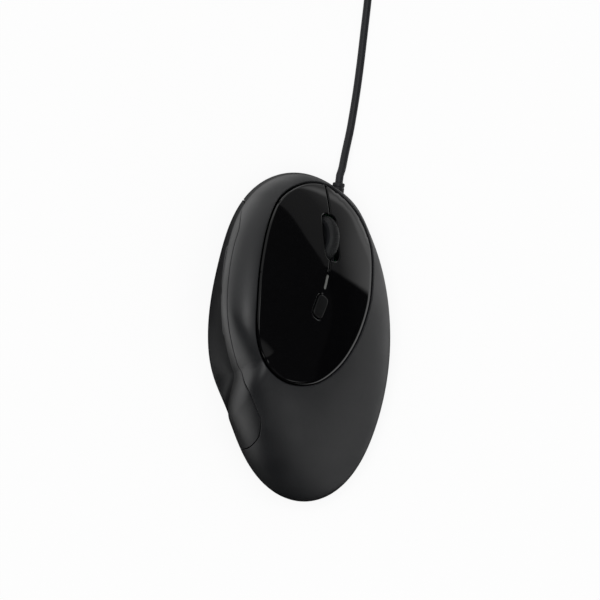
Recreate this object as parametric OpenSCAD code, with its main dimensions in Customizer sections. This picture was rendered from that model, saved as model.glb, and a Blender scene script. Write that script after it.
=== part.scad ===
// Wired vertical mouse for the right hand. The palm end is at -Y, the cord end at +Y,
// the thumb side at -X. Z is up from the feet, and the origin is under the middle of the body.

/* [Body] */
// Length of the body in plan
body_len = 138; // [132:0.2:146]
// Width of the body in plan
body_w = 76.8; // [72:0.2:82]
// Height that sets the slanted crown
crown_h = 78.4; // [74:0.2:84]
// Slant of the finger side from level, degrees
slant = 43; // [40:0.5:46]
// Thickness of the outer walls
wall = 2; // [1.6:0.1:2.4]
// Height of the widest line on the finger side
waist_z = 12; // [9:0.5:15]
// Height of the ridge over the thumb
ridge_h = 50; // [46:0.5:54]
// How far the crown is drawn in over the thumb
thumb_draw = 9; // [7:0.2:10]
// Depth of the thumb hollow under the ridge
thumb_hollow = 1.6; // [0:0.2:2.4]
// Height at which the skirt turns under
skirt_z = 4.5; // [4.2:0.1:5]
// Height of the lower rim
rim_z = 1.2; // [1:0.1:1.4]
// How far the rim turns in under the skirt
rim_in = 3; // [2.6:0.1:3.4]
// Gap along the seams of the outer pieces
seam_gap = 0.35; // [0.3:0.05:0.5]

/* [Buttons] */
// Thickness of the button panel
leaf_t = 1.8; // [1.5:0.1:2]
// Lengthwise place of the line where the finger leaves bend
bend_y = 27.3; // [26.5:0.1:28]
// Half distance between the two finger switches
switch_p = 14; // [13.8:0.1:14.6]
// Length of the pace and side tact switches' bodies
tact_w = 4.5; // [4:0.1:4.8]
// Width of the pace button
dpi_w = 5.6; // [5:0.1:6]
// Length of the pace button
dpi_len = 9.8; // [9:0.1:10.4]
// Width of the lit bar
lamp_w = 1.1; // [0.9:0.1:1.4]
// Length of the lit bar
lamp_len = 6.6; // [5.8:0.1:7]
// Length of a thumb button
side_len = 19; // [16:0.2:19.6]
// Height of a thumb button
side_h = 6.6; // [5.6:0.2:7.4]
// Height of the thumb buttons where they meet
side_z = 36.5; // [34:0.5:38]
// Slack round every button
button_slack = 0.3; // [0.25:0.05:0.4]

/* [Wheel] */
// Radius of the scroll wheel
wheel_r = 12; // [11:0.1:12.4]
// Width of the scroll wheel
wheel_w = 6.8; // [6:0.1:7]
// How far the wheel stands out of the panel
wheel_proud = 4.4; // [3.6:0.1:5]
// Lengthwise place of the wheel
wheel_y = 42; // [41:0.2:43]
// Sideways place of the wheel
wheel_x = 13.2; // [12.4:0.2:14]
// Diameter of the wheel's axle
axle_d = 3; // [2.4:0.1:3.2]
// Diameter of the carrier's pivot stubs
pivot_d = 2.4; // [2:0.1:2.8]

/* [Inside] */
// Depth of the slanted board under the panel
board_drop = 11; // [10.6:0.1:11.6]
// Thickness of the circuit boards
board_t = 1.6; // [1:0.1:1.8]
// Thickness of the base plate
base_t = 2.2; // [1.8:0.1:2.4]
// Thickness of the glide feet
foot_t = 0.7; // [0.5:0.05:0.7]
// Diameter of the frame's posts
post_d = 6.4; // [5.8:0.1:7]
// Diameter of the base screws
screw_d = 2.4; // [2:0.1:2.6]

/* [Cord] */
// Diameter of the cord
cord_d = 3.3; // [3:0.1:3.4]
// Turns in each layer of the coil
coil_turns = 3; // [2:1:3]
// Layers in the coil
coil_layers = 4; // [2:2:4]
// Radius of the coil at the middle of its turns
coil_mid_r = 19.65; // [18:0.05:19.8]
// Gap between the coil's turns
coil_gap = 0.55; // [0.5:0.05:0.8]

/* [Hidden] */
$fn = 48;

half_l = body_len / 2;
half_w = body_w / 2;
// Running clearance between a shaft and its bore, on the radius
run_fit = 0.05;
// Gap between pieces that lie on or in each other without pressing
ease_gap = 0.1;

// Plan outline: an ellipse, fuller at the nose, palm, cord exit and thumb side, hollow behind the thumb
nose_fill = 2.16;
palm_fill = 1.1;
exit_fill = 0.77;
side_fill = 1.05;
hollow_draw = 3.18;
// Each of these with its angle and its spread
swells = [
    [nose_fill, 112, 19], [palm_fill, 286, 19.5], [exit_fill, 66.7, 8.7], [side_fill, 185, 52],
    [-hollow_draw, 228.3, 22.7]
];
// The crown over the thumb is drawn in further: a long bell from the nose, held, then let out to the hollow
thumb_a = 199;
thumb_spread = 55;
thumb_skew = 14;
thumb_hold = 8;
thumb_fade = 23;
ridge_a = 160;
ridge_spread = 52;
// Roundness of the dome: the exponent of its section at the sides, nose and palm
round_side = 2.7;
round_nose = 3.6;
round_palm = 2.3;
// The crown's plane bends level over the thumb and falls away along the back
bend_x = -20;
bend_round = 14;
back_y = 4;
back_r = 105;
// How sharply the thumb wall flares out to the skirt
flare = 3;

function wrap(d) = d - 360 * floor((d + 180) / 360);
function bell(a, mid, spread) = exp(-pow(wrap(a - mid) / spread, 2));
function ease(lo, hi, v) =
    let (t = min(1, max(0, (v - lo) / (hi - lo))))
    t * t * (3 - 2 * t);
function unit(v) = v / norm(v);
function mix(a, b, t) = a + (b - a) * t;
function flat(list) = [for (row = list) for (item = row) item];

function plan_r(a) = half_l * half_w / norm([half_l * cos(a), half_w * sin(a)]);
function swell(a) = [for (s = swells) s[0] * bell(a, s[1], s[2])] * [for (s = swells) 1];
function thumb_bell(a) =
    let (d = wrap(a - thumb_a), fore = min(0, d))
    exp(-pow(fore / (thumb_spread - thumb_skew * sin(fore)), 2)) * (1 - ease(thumb_hold, thumb_hold + thumb_fade, d));
function skirt_r(a) = plan_r(a) * (1 + swell(a) / half_w);
function crown_r(a) = plan_r(a) * (1 + (swell(a) - thumb_draw * thumb_bell(a)) / half_w);
function ridge_z(a) = mix(waist_z, ridge_h, bell(a, ridge_a, ridge_spread));
function roundness(a) =
    let (s = sin(a))
    round_side + (round_nose - round_palm) / 2 * s + ((round_nose + round_palm) / 2 - round_side) * s * s;
function crown_plane(x, y) =
    crown_h - tan(slant) * (x - bend_x + norm([x - bend_x, bend_round])) / 2
    - pow(y - back_y, 2) / (2 * back_r);

// A point of the dome at an angle and a share of the way out to the crown's outline
function dome_point(a, share) =
    let (r = share * crown_r(a), n = roundness(a), x = r * cos(a), y = r * sin(a), low = ridge_z(a))
    [x, y, low + (crown_plane(x, y) - low) * pow(max(0, 1 - pow(share, n)), 1 / n)];
function dome_z(x, y) =
    let (a = atan2(y, x))
    dome_point(a, min(1, norm([x, y]) / crown_r(a))).z;

// A point of the whole skin: m runs 0 to 1 over the dome, to 2 down the wall, to 3 under the rim
function wall_r(a, v) =
    mix(crown_r(a), skirt_r(a), pow(v, flare)) - thumb_hollow * thumb_bell(a) * sin(180 * v);
function skin_raw(a, m) =
    m <= 1 ? dome_point(a, pow(sin(90 * m), 2 / roundness(a)))
    : m <= 2 ? let (r = wall_r(a, m - 1))
        [r * cos(a), r * sin(a), mix(ridge_z(a), skirt_z, m - 1)]
    : let (r = skirt_r(a) - rim_in * (1 - cos(90 * (m - 2))))
        [r * cos(a), r * sin(a), mix(skirt_z, rim_z, sin(90 * (m - 2)))];

// The thumb panel's seam, from the nose round to the palm, turned forward behind the scoop
seam_a1 = 112.4;
seam_a2 = 248;
seam_m1 = 0.68;
seam_m2 = 0.43;
seam_drop_a1 = 204;
seam_drop_a2 = 230;
seam_corner1 = 8;
seam_corner2 = 4.5;
seam_rise1 = 0.35;
seam_rise2 = 0.09;
scoop_turn = 6.3;
scoop_spread = 11;
function seam_m(a) =
    mix(seam_m1, seam_m2, ease(seam_drop_a1, seam_drop_a2, a))
    + seam_rise1 * pow(min(1, max(0, 1 - (a - seam_a1) / seam_corner1)), 2)
    + seam_rise2 * pow(min(1, max(0, 1 - (seam_a2 - a) / seam_corner2)), 2);
function skin(a, m) =
    skin_raw(a - scoop_turn * ease(seam_m2, 1, m) * bell(a, seam_a2, scoop_spread), m);
skin_step = 0.01;
function skin_normal(a, m) =
    unit(cross(skin(a, min(3, m + skin_step)) - skin(a, max(0.02, m - skin_step)),
               skin(a + 1, m) - skin(a - 1, m)));

// Slanted working frame at the wheel: p across the panel, q along it, n out of it
pitch = 12;
yaw = atan(sin(pitch) * tan(slant));
p_dir = turn_mech([1, 0, 0]);
q_dir = turn_mech([0, 1, 0]);
n_dir = turn_mech([0, 0, 1]);
wheel_seat = [wheel_x, wheel_y, dome_z(wheel_x, wheel_y)];
function turn_mech(v) =
    let (a = [v.x * cos(yaw) + v.y * sin(yaw), v.y * cos(yaw) - v.x * sin(yaw), v.z],
         b = [a.x, a.y * cos(pitch) + a.z * sin(pitch), a.z * cos(pitch) - a.y * sin(pitch)])
    [b.x * cos(slant) + b.z * sin(slant), b.y, b.z * cos(slant) - b.x * sin(slant)];
function mech_point(p, q, n) = wheel_seat + p * p_dir + q * q_dir + n * n_dir;
function mech_of(v) =
    let (d = v - wheel_seat)
    [d * p_dir, d * q_dir, d * n_dir];
// Height of the skin over the frame at p and q
function skin_n(p, q, n = 0, left = 6) =
    let (v = mech_point(p, q, n))
    left == 0 ? n : skin_n(p, q, n + (dome_z(v.x, v.y) - v.z) * n_dir.z, left - 1);
module mech() {
    translate(wheel_seat) rotate([-pitch, slant, 0]) rotate([0, 0, -yaw]) children();
}

// Outline of the button panel as shares of the half width and half length, from the right side
panel_shape = [
    [0.805, 0.318], [0.797, 0.549], [0.664, 0.744], [0.385, 0.913], [0.089, 0.951], [-0.195, 0.867],
    [-0.339, 0.694], [-0.424, 0.455], [-0.458, 0.217], [-0.461, -0.007], [-0.359, -0.166],
    [-0.13, -0.272], [0.169, -0.282], [0.43, -0.191], [0.625, -0.04], [0.755, 0.145]
];
panel_n = len(panel_shape);
panel_pts = [for (s = panel_shape) [s.x * half_w, s.y * half_l]];
function panel_at(t) =
    let (k = floor(t), f = t - k, p = [for (i = [-1:2]) panel_pts[(k + i + panel_n) % panel_n]])
    (2 * p[1] + (p[2] - p[0]) * f + (2 * p[0] - 5 * p[1] + 4 * p[2] - p[3]) * f * f
     + (3 * p[1] - p[0] - 3 * p[2] + p[3]) * f * f * f) / 2;
function panel_edge(t, inset) =
    let (d = panel_at(t + 0.02) - panel_at(t - 0.02 + panel_n))
    panel_at(t) + inset * [-d.y, d.x] / norm(d);
panel_a0 = atan2(panel_pts[0].y, panel_pts[0].x);
function panel_turn(t) =
    let (p = panel_at(t), d = atan2(p.y, p.x) - panel_a0)
    d < 0 ? d + 360 : d;
// The outline's parameter at an angle round the body's middle
function panel_t(a, lo = 0, hi = panel_n - 0.001, left = 18) =
    let (mid = (lo + hi) / 2, goal = wrap(a - panel_a0 - 180) + 180)
    left == 0 ? mid
    : panel_turn(mid) < goal ? panel_t(a, mid, hi, left - 1)
    : panel_t(a, lo, mid, left - 1);
function opening_m(a) =
    asin(pow(min(1, norm(panel_at(panel_t(a))) / crown_r(a)), roundness(a) / 2)) / 90;

// Faces of a closed plate between two grids of points, given as columns of rows: the two skins
// over some spans between columns, the hems along a row, and the hems down a column
function skins(spans, nc, nr, r0, r1) =
    [for (c = spans) for (r = [r0:r1 - 1])
        let (o = nc * nr, i = c * nr + r, j = (c + 1) % nc * nr + r)
        each [[i, j, j + 1], [i, j + 1, i + 1],
              [o + i, o + j + 1, o + j], [o + i, o + i + 1, o + j + 1]]];
function row_hem(spans, nc, nr, r, top) =
    [for (c = spans)
        let (o = nc * nr, k = c * nr + r, l = (c + 1) % nc * nr + r, i = top ? l : k, j = top ? k : l)
        each [[i, j, o + j], [i, o + j, o + i]]];
function column_hem(c, nc, nr, r0, r1, first) =
    [for (r = [r0:r1 - 1])
        let (o = nc * nr, k = c * nr + r, i = first ? k : k + 1, j = first ? k + 1 : k)
        each [[i, j, o + j], [i, o + j, o + i]]];
function plate_faces(nc, nr) =
    let (spans = [0:nc - 2])
    concat(
        skins(spans, nc, nr, 0, nr - 1),
        row_hem(spans, nc, nr, 0, true), row_hem(spans, nc, nr, nr - 1, false),
        column_hem(0, nc, nr, 0, nr - 1, true), column_hem(nc - 1, nc, nr, 0, nr - 1, false)
    );
module plate(outer, inner) {
    polyhedron(concat(flat(outer), flat(inner)), plate_faces(len(outer), len(outer[0])), convexity = 8);
}

// Tube swept along a list of points
function tube_points(path, r, sides) =
    [for (i = [0:len(path) - 1])
        let (a = path[max(0, i - 1)], b = path[min(len(path) - 1, i + 1)], d = unit(b - a),
             u = unit(cross(abs(d.z) > 0.9 ? [0, 1, 0] : [0, 0, 1], d)), v = cross(d, u))
        for (k = [0:sides - 1]) path[i] + r * (cos(360 * k / sides) * u + sin(360 * k / sides) * v)];
module tube(path, r, sides) {
    n = len(path);
    polyhedron(
        tube_points(path, r, sides),
        concat(
            [for (i = [0:n - 2]) for (k = [0:sides - 1])
                let (a = i * sides + k, b = i * sides + (k + 1) % sides)
                each [[a, a + sides, b + sides], [a, b + sides, b]]],
            [[for (k = [0:sides - 1]) k], [for (k = [0:sides - 1]) n * sides - 1 - k]]
        ),
        convexity = 10
    );
}
function spline(p, steps) =
    [for (i = [0:len(p) - 2]) for (k = [0:steps - (i == len(p) - 2 ? 0 : 1)])
        let (f = k / steps, a = p[max(0, i - 1)], b = p[i], c = p[i + 1], d = p[min(len(p) - 1, i + 2)])
        (2 * b + (c - a) * f + (2 * a - 5 * b + 4 * c - d) * f * f
         + (3 * b - a - 3 * c + d) * f * f * f) / 2];

module round_rect(w, l, r) {
    square([w - 2 * r, l], center = true);
    square([w, l - 2 * r], center = true);
    for (x = [-1, 1]) for (y = [-1, 1]) translate([x * (w / 2 - r), y * (l / 2 - r)]) circle(r);
}
module box(p, q, n) {
    translate([p[0], q[0], n[0]]) cube([p[1] - p[0], q[1] - q[0], n[1] - n[0]]);
}

// Housing

// Columns of the skin: closer at the seam's two corners, and at the nose
seam_as = concat(
    [for (k = [0:5]) seam_a1 + seam_corner1 * k / 6],
    [for (k = [0:25]) mix(seam_a1 + seam_corner1, seam_a2 - seam_corner2, k / 26)],
    [for (k = [0:6]) seam_a2 - seam_corner2 + seam_corner2 * k / 6]
);
jog = 0.4;
open_as = concat(
    [for (k = [0:29]) mix(seam_a2 + jog, 360, k / 30)],
    [for (k = [0:40]) mix(360, seam_a1 + 360 - jog, k / 40)]
);
// Rows of the shell above the level of the seam, and below it
shell_rows = 7;
skirt_rows = 8;
// Share of the open columns over which the rows fall back to the waist
row_blend = 0.3;
// Share of the meridian over which the wall's offset turns from the panel's normal to its own
rim_blend = 0.25;
function shell_inner(a, m, m0) =
    skin(a, m) - wall * unit(mix(n_dir, skin_normal(a, m), ease(0, rim_blend, m - m0)));
exit_z = 8.5;
exit_x = 16.2;
exit_lean = 7.5;
relief_d = 5.2;
exit_a = atan2(half_l * 0.91, exit_x);
exit_y = wall_r(exit_a, 0.5) * sin(exit_a);
module exit_frame() {
    translate([exit_x, exit_y, exit_z]) rotate([-90, 0, -exit_lean]) children();
}
// The shell goes right round above the seam, and below it only where the thumb panel isn't
module shell_sheet() {
    as = concat(seam_as, open_as);
    nc = len(as);
    nr = shell_rows + skirt_rows + 1;
    n_seam = len(seam_as);
    n_open = len(open_as);
    starts = [for (a = as) opening_m(a)];
    mids = concat(
        [for (a = seam_as) seam_m(a)],
        [for (k = [0:n_open - 1])
            mix(seam_m(seam_a2), seam_m(seam_a1), ease(0, row_blend, k / (n_open - 1)))]
    );
    rows = [for (i = [0:nc - 1]) concat(
        [for (j = [0:shell_rows]) mix(starts[i], mids[i], j / shell_rows)],
        [for (j = [1:skirt_rows]) mix(mids[i], 3, j / skirt_rows)]
    )];
    outer = [for (i = [0:nc - 1]) [for (m = rows[i]) skin(as[i], m)]];
    inner = [for (i = [0:nc - 1]) [for (m = rows[i]) shell_inner(as[i], m, starts[i])]];
    all = [0:nc - 1];
    open = [n_seam:nc - 2];
    polyhedron(concat(flat(outer), flat(inner)), concat(
        skins(all, nc, nr, 0, shell_rows), skins(open, nc, nr, shell_rows, nr - 1),
        row_hem(all, nc, nr, 0, true), row_hem(open, nc, nr, nr - 1, false),
        row_hem(concat([for (c = [0:n_seam - 1]) c], [nc - 1]), nc, nr, shell_rows, false),
        column_hem(n_seam, nc, nr, shell_rows, nr - 1, true),
        column_hem(nc - 1, nc, nr, shell_rows, nr - 1, false)
    ), convexity = 8);
}
module main_shell() {
    color("#2b2b2d") difference() {
        shell_sheet();
        exit_frame() cylinder(d = relief_d + 2 * ease_gap, h = 8 * wall, center = true);
    }
}

panel_rows = 14;
seam_a_gap = 0.6;
// Step along the meridian that leaves the seam's gap, square to the seam
function seam_m_gap(a) =
    let (m = seam_m(a), along = norm(skin(a, m + skin_step) - skin(a, m - skin_step)) / (2 * skin_step),
         across = norm(skin(a + 0.5, m) - skin(a - 0.5, m)), slope = seam_m(a + 0.5) - seam_m(a - 0.5))
    seam_gap * norm([1 / along, slope / across]);
side_mid_y = 19.6;
side_lean = 14;
side_apart = 1.4;
// Middles of the two thumb buttons, in length and height
side_mids = [for (s = [1, -1])
    [side_mid_y, side_z] + s * (side_len + side_apart) / 2 * [cos(side_lean), -sin(side_lean)]];
// The thumb wall's x at a length and a height
function thumb_x(y, z, x = -32, left = 14) =
    let (a = atan2(y, x), top = ridge_z(a), r = wall_r(a, min(1, max(0, (top - z) / (top - skirt_z)))))
    left == 0 ? x : thumb_x(y, z, (x - sqrt(max(1, r * r - y * y))) / 2, left - 1);
// Corners of a thumb button, rounded by squeezing a square grid
side_squeeze = 0.34;
function side_yz(mid, u, v, grow) =
    let (a = (side_len / 2 + grow) * u * sqrt(1 - side_squeeze * v * v),
         b = (side_h / 2 + grow) * v * sqrt(1 - side_squeeze * u * u))
    mid + [a * cos(side_lean) + b * sin(side_lean), b * cos(side_lean) - a * sin(side_lean)];
side_ring = [for (k = [0:31])
    let (c = cos(k * 11.25 + 5.6), s = sin(k * 11.25 + 5.6), m = max(abs(c), abs(s)))
    [c / m, s / m]];
side_back = thumb_x(side_mid_y, side_z) + wall + 2.4;
module thumb_panel() {
    as = [for (a = seam_as) min(seam_a2 - seam_a_gap, max(seam_a1 + seam_a_gap, a))];
    rows = [for (a = seam_as) let (m0 = seam_m(a) + seam_m_gap(a))
        [for (j = [0:panel_rows]) mix(m0, 3, j / panel_rows)]];
    color("#1f1f21") difference() {
        plate(
            [for (i = [0:len(as) - 1]) [for (m = rows[i]) skin(as[i], m)]],
            [for (i = [0:len(as) - 1]) [for (m = rows[i]) skin(as[i], m) - wall * skin_normal(as[i], m)]]
        );
        for (mid = side_mids) side_prism(mid, button_slack);
    }
}
// How far the cut for a thumb button reaches in and out from the button's back
side_cut_in = 4;
side_cut_out = 14;
module side_prism(mid, grow) {
    translate([side_back + side_cut_in, 0, 0]) rotate([90, 0, -90])
        linear_extrude(side_cut_in + side_cut_out)
            polygon([for (s = side_ring) let (c = side_yz(mid, s.x, s.y, grow)) [-c[0], c[1]]]);
}

base_z = foot_t;
base_top = base_z + base_t;
base_steps = 72;
function base_edge(a) =
    let (r = skirt_r(a) - rim_in - seam_gap)
    [r * cos(a), r * sin(a)];
// Main board: middle, size and height
main_mid = [-6, -17];
main_size = [32, 50];
main_z = 6;
standoff_d = 5;
hole_in = 3.5;
main_holes = [for (x = [-1, 1]) for (y = [-1, 1])
    main_mid + [x * (main_size.x / 2 - hole_in), y * (main_size.y / 2 - hole_in)]];
sensor_mid = [-6, -10];
window = [9, 12];
screw_head_d = 2 * screw_d;
screw_head_t = 1.4;
post_pq = [[-16, -32], [15, -27], [15, 7.5], [-16, 10]];
posts = [for (s = post_pq) let (v = mech_point(s[0], s[1], -board_drop)) [v.x, v.y]];
module base_plate() {
    color("#202022") difference() {
        union() {
            translate([0, 0, base_z]) linear_extrude(base_t)
                polygon([for (i = [0:base_steps - 1]) base_edge(i * 360 / base_steps)]);
            for (h = main_holes) translate([h.x, h.y, base_top])
                cylinder(d = standoff_d, h = main_z - base_top);
        }
        translate([sensor_mid.x, sensor_mid.y, base_z + base_t / 2])
            cube([window.x, window.y, 2 * base_t], center = true);
        for (h = main_holes) translate([h.x, h.y, base_top])
            cylinder(d = small_screw_d + 2 * run_fit, h = main_z);
        for (p = posts) translate([p.x, p.y, base_z - 1]) {
            cylinder(d = screw_d + 4 * ease_gap, h = base_t + 2);
            cylinder(d = screw_head_d + 4 * ease_gap, h = 1 + screw_head_t);
        }
    }
}

// Button panel: two finger leaves in front of the bend line and one fixed piece behind it

leaf_gap = 0.4;
split_r = 100;
slot_slack = 0.8;
slot_w = wheel_w + 2 * slot_slack;
function split_x(y) = wheel_x - pow(y - wheel_y, 2) / (2 * split_r);
// Outline parameters where the edge crosses a length, on a rising or falling side
function edge_t_at(y, lo, hi, left = 20) =
    let (mid = (lo + hi) / 2, up = panel_at(hi).y > panel_at(lo).y)
    left == 0 ? mid
    : (panel_at(mid).y < y) == up ? edge_t_at(y, mid, hi, left - 1)
    : edge_t_at(y, lo, mid, left - 1);
function split_t(lo, hi, left = 20) =
    let (mid = (lo + hi) / 2, p = panel_at(mid))
    left == 0 ? mid : p.x > split_x(p.y) ? split_t(mid, hi, left - 1) : split_t(lo, mid, left - 1);
front_t = split_t(2, 5);
left_corner_t = 5.4;
right_corner_t = 2.4;
left_bend_t = edge_t_at(bend_y - leaf_gap, 6, 9);
right_bend_t = edge_t_at(bend_y - leaf_gap, 0, 1);
palm_left_t = 10.6;
palm_right_t = 13.4;
// Patch in plan between a rear, a front, a left and a right edge, each run from 0 to 1
function patch(u, v, rear0, rear1, front, left, right) =
    let (f0 = front(0), f1 = front(1))
    mix(mix(rear0, rear1, u), front(u), v) + mix(left(v), right(v), u)
    - mix(mix(rear0, rear1, u), mix(f0, f1, u), v);
leaf_front = panel_edge(front_t, seam_gap).y;
leaf_rows = 12;
leaf_cols = 11;
function on_skin(p) = [p.x, p.y, dome_z(p.x, p.y)];
// One finger leaf: side is -1 for the left and 1 for the right
function leaf_grid(side, drop) =
    let (corner_t = side < 0 ? left_corner_t : right_corner_t,
         bend_t = side < 0 ? edge_t_at(bend_y, 6, 9) : edge_t_at(bend_y, 0, 1),
         edge = function(t) panel_edge(t, seam_gap),
         split = function(v)
            let (y = mix(bend_y, leaf_front, v))
            [split_x(y) + side * leaf_gap / 2, y],
         outside = function(v) edge(mix(bend_t, corner_t, v)),
         front = function(u) side < 0
            ? edge(mix(corner_t, front_t, u)) + u * (split(1) - edge(front_t))
            : edge(mix(front_t, corner_t, u)) + (1 - u) * (split(1) - edge(front_t)))
    [for (r = [0:leaf_rows]) let (v = r / leaf_rows)
        [for (c = [0:leaf_cols]) let (u = c / leaf_cols,
            p = side < 0
                ? patch(u, v, outside(0), split(0), front, outside, split)
                : patch(u, v, split(0), outside(0), front, split, outside))
            on_skin(p) - drop * n_dir]];
switch_q = 1;
switch_size = [5.8, 12.8, 6.5];
plunger_d = 2.4;
plunger_out = 0.8;
press_gap = 0.15;
plunger_top = -board_drop + switch_size.z + plunger_out;
pusher_d = plunger_d + 0.8;
module finger_leaf(side) {
    pusher_low = plunger_top + press_gap;
    pusher_high = skin_n(side * switch_p, switch_q) - leaf_t / 2;
    union() {
        difference() {
            plate(leaf_grid(side, 0), leaf_grid(side, leaf_t));
            wheel_frame() cylinder(r = wheel_r + slot_slack, h = slot_w, center = true);
        }
        mech() translate([side * switch_p, switch_q, pusher_low])
            cylinder(d = pusher_d, h = pusher_high - pusher_low);
    }
}
module left_button() {
    color("#0b0b0c") finger_leaf(-1);
}
module right_button() {
    color("#0b0b0c") finger_leaf(1);
}
palm_rows = 12;
palm_cols = 14;
function palm_grid(drop) =
    let (edge = function(t) panel_edge(t, seam_gap),
         left = function(v) edge(mix(palm_left_t, left_bend_t, v)),
         right = function(v) edge(mix(palm_right_t, right_bend_t + panel_n, v)),
         front = function(u) mix(left(1), right(1), u),
         rear = function(u) edge(mix(palm_left_t, palm_right_t, u)))
    [for (r = [0:palm_rows]) let (v = r / palm_rows)
        [for (c = [0:palm_cols]) let (u = c / palm_cols,
            p = mix(rear(u), front(u), v) + mix(left(v), right(v), u)
                - mix(mix(left(0), right(0), u), mix(left(1), right(1), u), v))
            on_skin(p) - drop * n_dir]];
dpi_xy = [8.75, 13];
dpi_lean = 20;
dpi_seat = mech_of(on_skin(dpi_xy));
lamp_xy = [11.05, 23.2];
lamp_lean = 14;
lamp_seat = mech_of(on_skin(lamp_xy));
module dpi_frame() {
    mech() translate([dpi_seat.x, dpi_seat.y, 0]) rotate([0, 0, -dpi_lean]) children();
}
module lamp_frame() {
    mech() translate([lamp_seat.x, lamp_seat.y, 0]) rotate([0, 0, -lamp_lean]) children();
}
dpi_r = 2;
dpi_proud = 0.5;
module button_panel() {
    color("#0b0b0c") difference() {
        plate(palm_grid(0), palm_grid(leaf_t));
        dpi_frame() translate([0, 0, dpi_seat.z - 2 * leaf_t]) linear_extrude(4 * leaf_t)
            round_rect(dpi_w + 2 * button_slack, dpi_len + 2 * button_slack, dpi_r + button_slack);
        lamp_frame() translate([0, 0, lamp_seat.z - 2 * leaf_t]) linear_extrude(4 * leaf_t)
            round_rect(lamp_w + 2 * ease_gap, lamp_len + 2 * ease_gap, lamp_w / 2 + ease_gap - 0.01);
    }
}
tact_t = 3.2;
stem_d = 2.2;
stem_out = 1;
stem_in = 1.2;
stem_room = 0.8;
tact_top = -board_drop + tact_t + stem_out;
flange = 0.9;
flange_t = 1;
module dpi_button() {
    top = dpi_seat.z + dpi_proud;
    low = dpi_seat.z - 2 * leaf_t - flange_t;
    color("#101012") dpi_frame() {
        translate([0, 0, low]) linear_extrude(top - low) round_rect(dpi_w, dpi_len, dpi_r);
        translate([0, 0, low]) linear_extrude(flange_t)
            round_rect(dpi_w + 2 * flange, dpi_len + 2 * flange, dpi_r + flange);
        translate([0, 0, tact_top + press_gap]) cylinder(d = 2.6, h = low - tact_top - press_gap + 0.5);
    }
}
module tact() {
    difference() {
        translate([-tact_w / 2, -tact_w / 2, 0]) cube([tact_w, tact_w, tact_t]);
        translate([0, 0, tact_t - stem_in - stem_room]) cylinder(d = stem_d + 2 * run_fit, h = tact_t);
    }
}
module stem() {
    translate([0, 0, tact_t - stem_in]) cylinder(d = stem_d, h = stem_in + stem_out);
}
module dpi_switch() {
    color("#3a3a3c") dpi_frame() translate([0, 0, -board_drop]) tact();
}
module dpi_stem() {
    color("#a8a8a4") dpi_frame() translate([0, 0, -board_drop]) stem();
}
led_size = [2, 3.2, 1.1];
module light_pipe() {
    low = -board_drop + led_size.z + ease_gap;
    color("#c9cac6") lamp_frame() translate([0, 0, low]) linear_extrude(lamp_seat.z - low + 0.1)
        round_rect(lamp_w, lamp_len, lamp_w / 2 - 0.01);
}
module indicator_led() {
    color("#e6e3c4") lamp_frame() translate([-led_size.x / 2, -led_size.y / 2, -board_drop]) cube(led_size);
}

// Scroll wheel and its carrier

wheel_n = wheel_proud - wheel_r;
tyre_t = 2.5;
hub_r = wheel_r - tyre_t;
axle_half = 9.6;
notch_count = 30;
notch_d = 0.9;
fork_gap = 0.8;
fork_t = 1.5;
fork_in = wheel_w / 2 + fork_gap;
fork_out = fork_in + fork_t;
fork_h = 5.6;
fork_back = -16.4;
fork_front = 5;
fork_bar = 3.2;
pivot_q = -14.8;
lug_t = 1.8;
lug_gap = 0.3;
module wheel_frame() {
    mech() translate([0, 0, wheel_n]) rotate([0, 90, 0]) children();
}
module wheel_hub() {
    web = 1.6;
    color("#4a4a4c") wheel_frame() union() {
        cylinder(d = axle_d, h = 2 * axle_half, center = true);
        difference() {
            cylinder(r = hub_r - run_fit, h = wheel_w - 1, center = true);
            for (s = [-1, 1]) translate([0, 0, s * (web / 2 + wheel_w / 2)])
                difference() {
                    cylinder(r = hub_r - 1.4, h = wheel_w, center = true);
                    cylinder(r = axle_d / 2 + 1.2, h = wheel_w + 1, center = true);
                }
        }
    }
}
module wheel_tyre() {
    bulge = 0.7;
    color("#19191a") wheel_frame() difference() {
        rotate_extrude() polygon([
            [hub_r, -wheel_w / 2], [wheel_r - bulge, -wheel_w / 2], [wheel_r, -wheel_w / 2 + 1.2],
            [wheel_r, wheel_w / 2 - 1.2], [wheel_r - bulge, wheel_w / 2], [hub_r, wheel_w / 2]
        ]);
        for (k = [0:notch_count - 1]) rotate([0, 0, k * 360 / notch_count])
            translate([wheel_r, 0, 0]) cylinder(d = notch_d, h = wheel_w + 1, center = true, $fn = 16);
    }
}
click_q = -7.8;
click_p = -(fork_out + lug_gap + tact_w / 2 + 0.6);
module wheel_carrier() {
    color("#2f2f31") mech() translate([0, 0, wheel_n]) difference() {
        union() {
            for (s = [-1, 1]) {
                p0 = s < 0 ? -fork_out : fork_in;
                box([p0, p0 + fork_t], [fork_back, fork_front], [-fork_h / 2, fork_h / 2]);
            }
            box([-fork_out, fork_out], [fork_back, fork_back + fork_bar], [-fork_h / 2, fork_h / 2]);
            translate([0, pivot_q, 0]) rotate([0, 90, 0])
                cylinder(d = pivot_d, h = 2 * (fork_out + lug_gap + lug_t), center = true);
            box([click_p - 1.2, -fork_in], [click_q - 1.8, click_q + 1.8],
                [tact_top + press_gap - wheel_n, fork_h / 2]);
        }
        rotate([0, 90, 0]) cylinder(d = axle_d + 2 * run_fit, h = 4 * fork_out, center = true);
    }
}
encoder_size = [4, 11, 7.2];
encoder_p = fork_out + 0.9;
module scroll_encoder() {
    color("#2e5d3a") mech() difference() {
        box([encoder_p, encoder_p + encoder_size.x], [-encoder_size.y / 2, encoder_size.y / 2],
            [-board_drop, -board_drop + encoder_size.z]);
        translate([0, 0, wheel_n]) rotate([0, 90, 0]) cylinder(d = axle_d + 1.6, h = 40, center = true);
    }
}
module click_frame() {
    mech() translate([click_p, click_q, -board_drop]) children();
}
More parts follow.
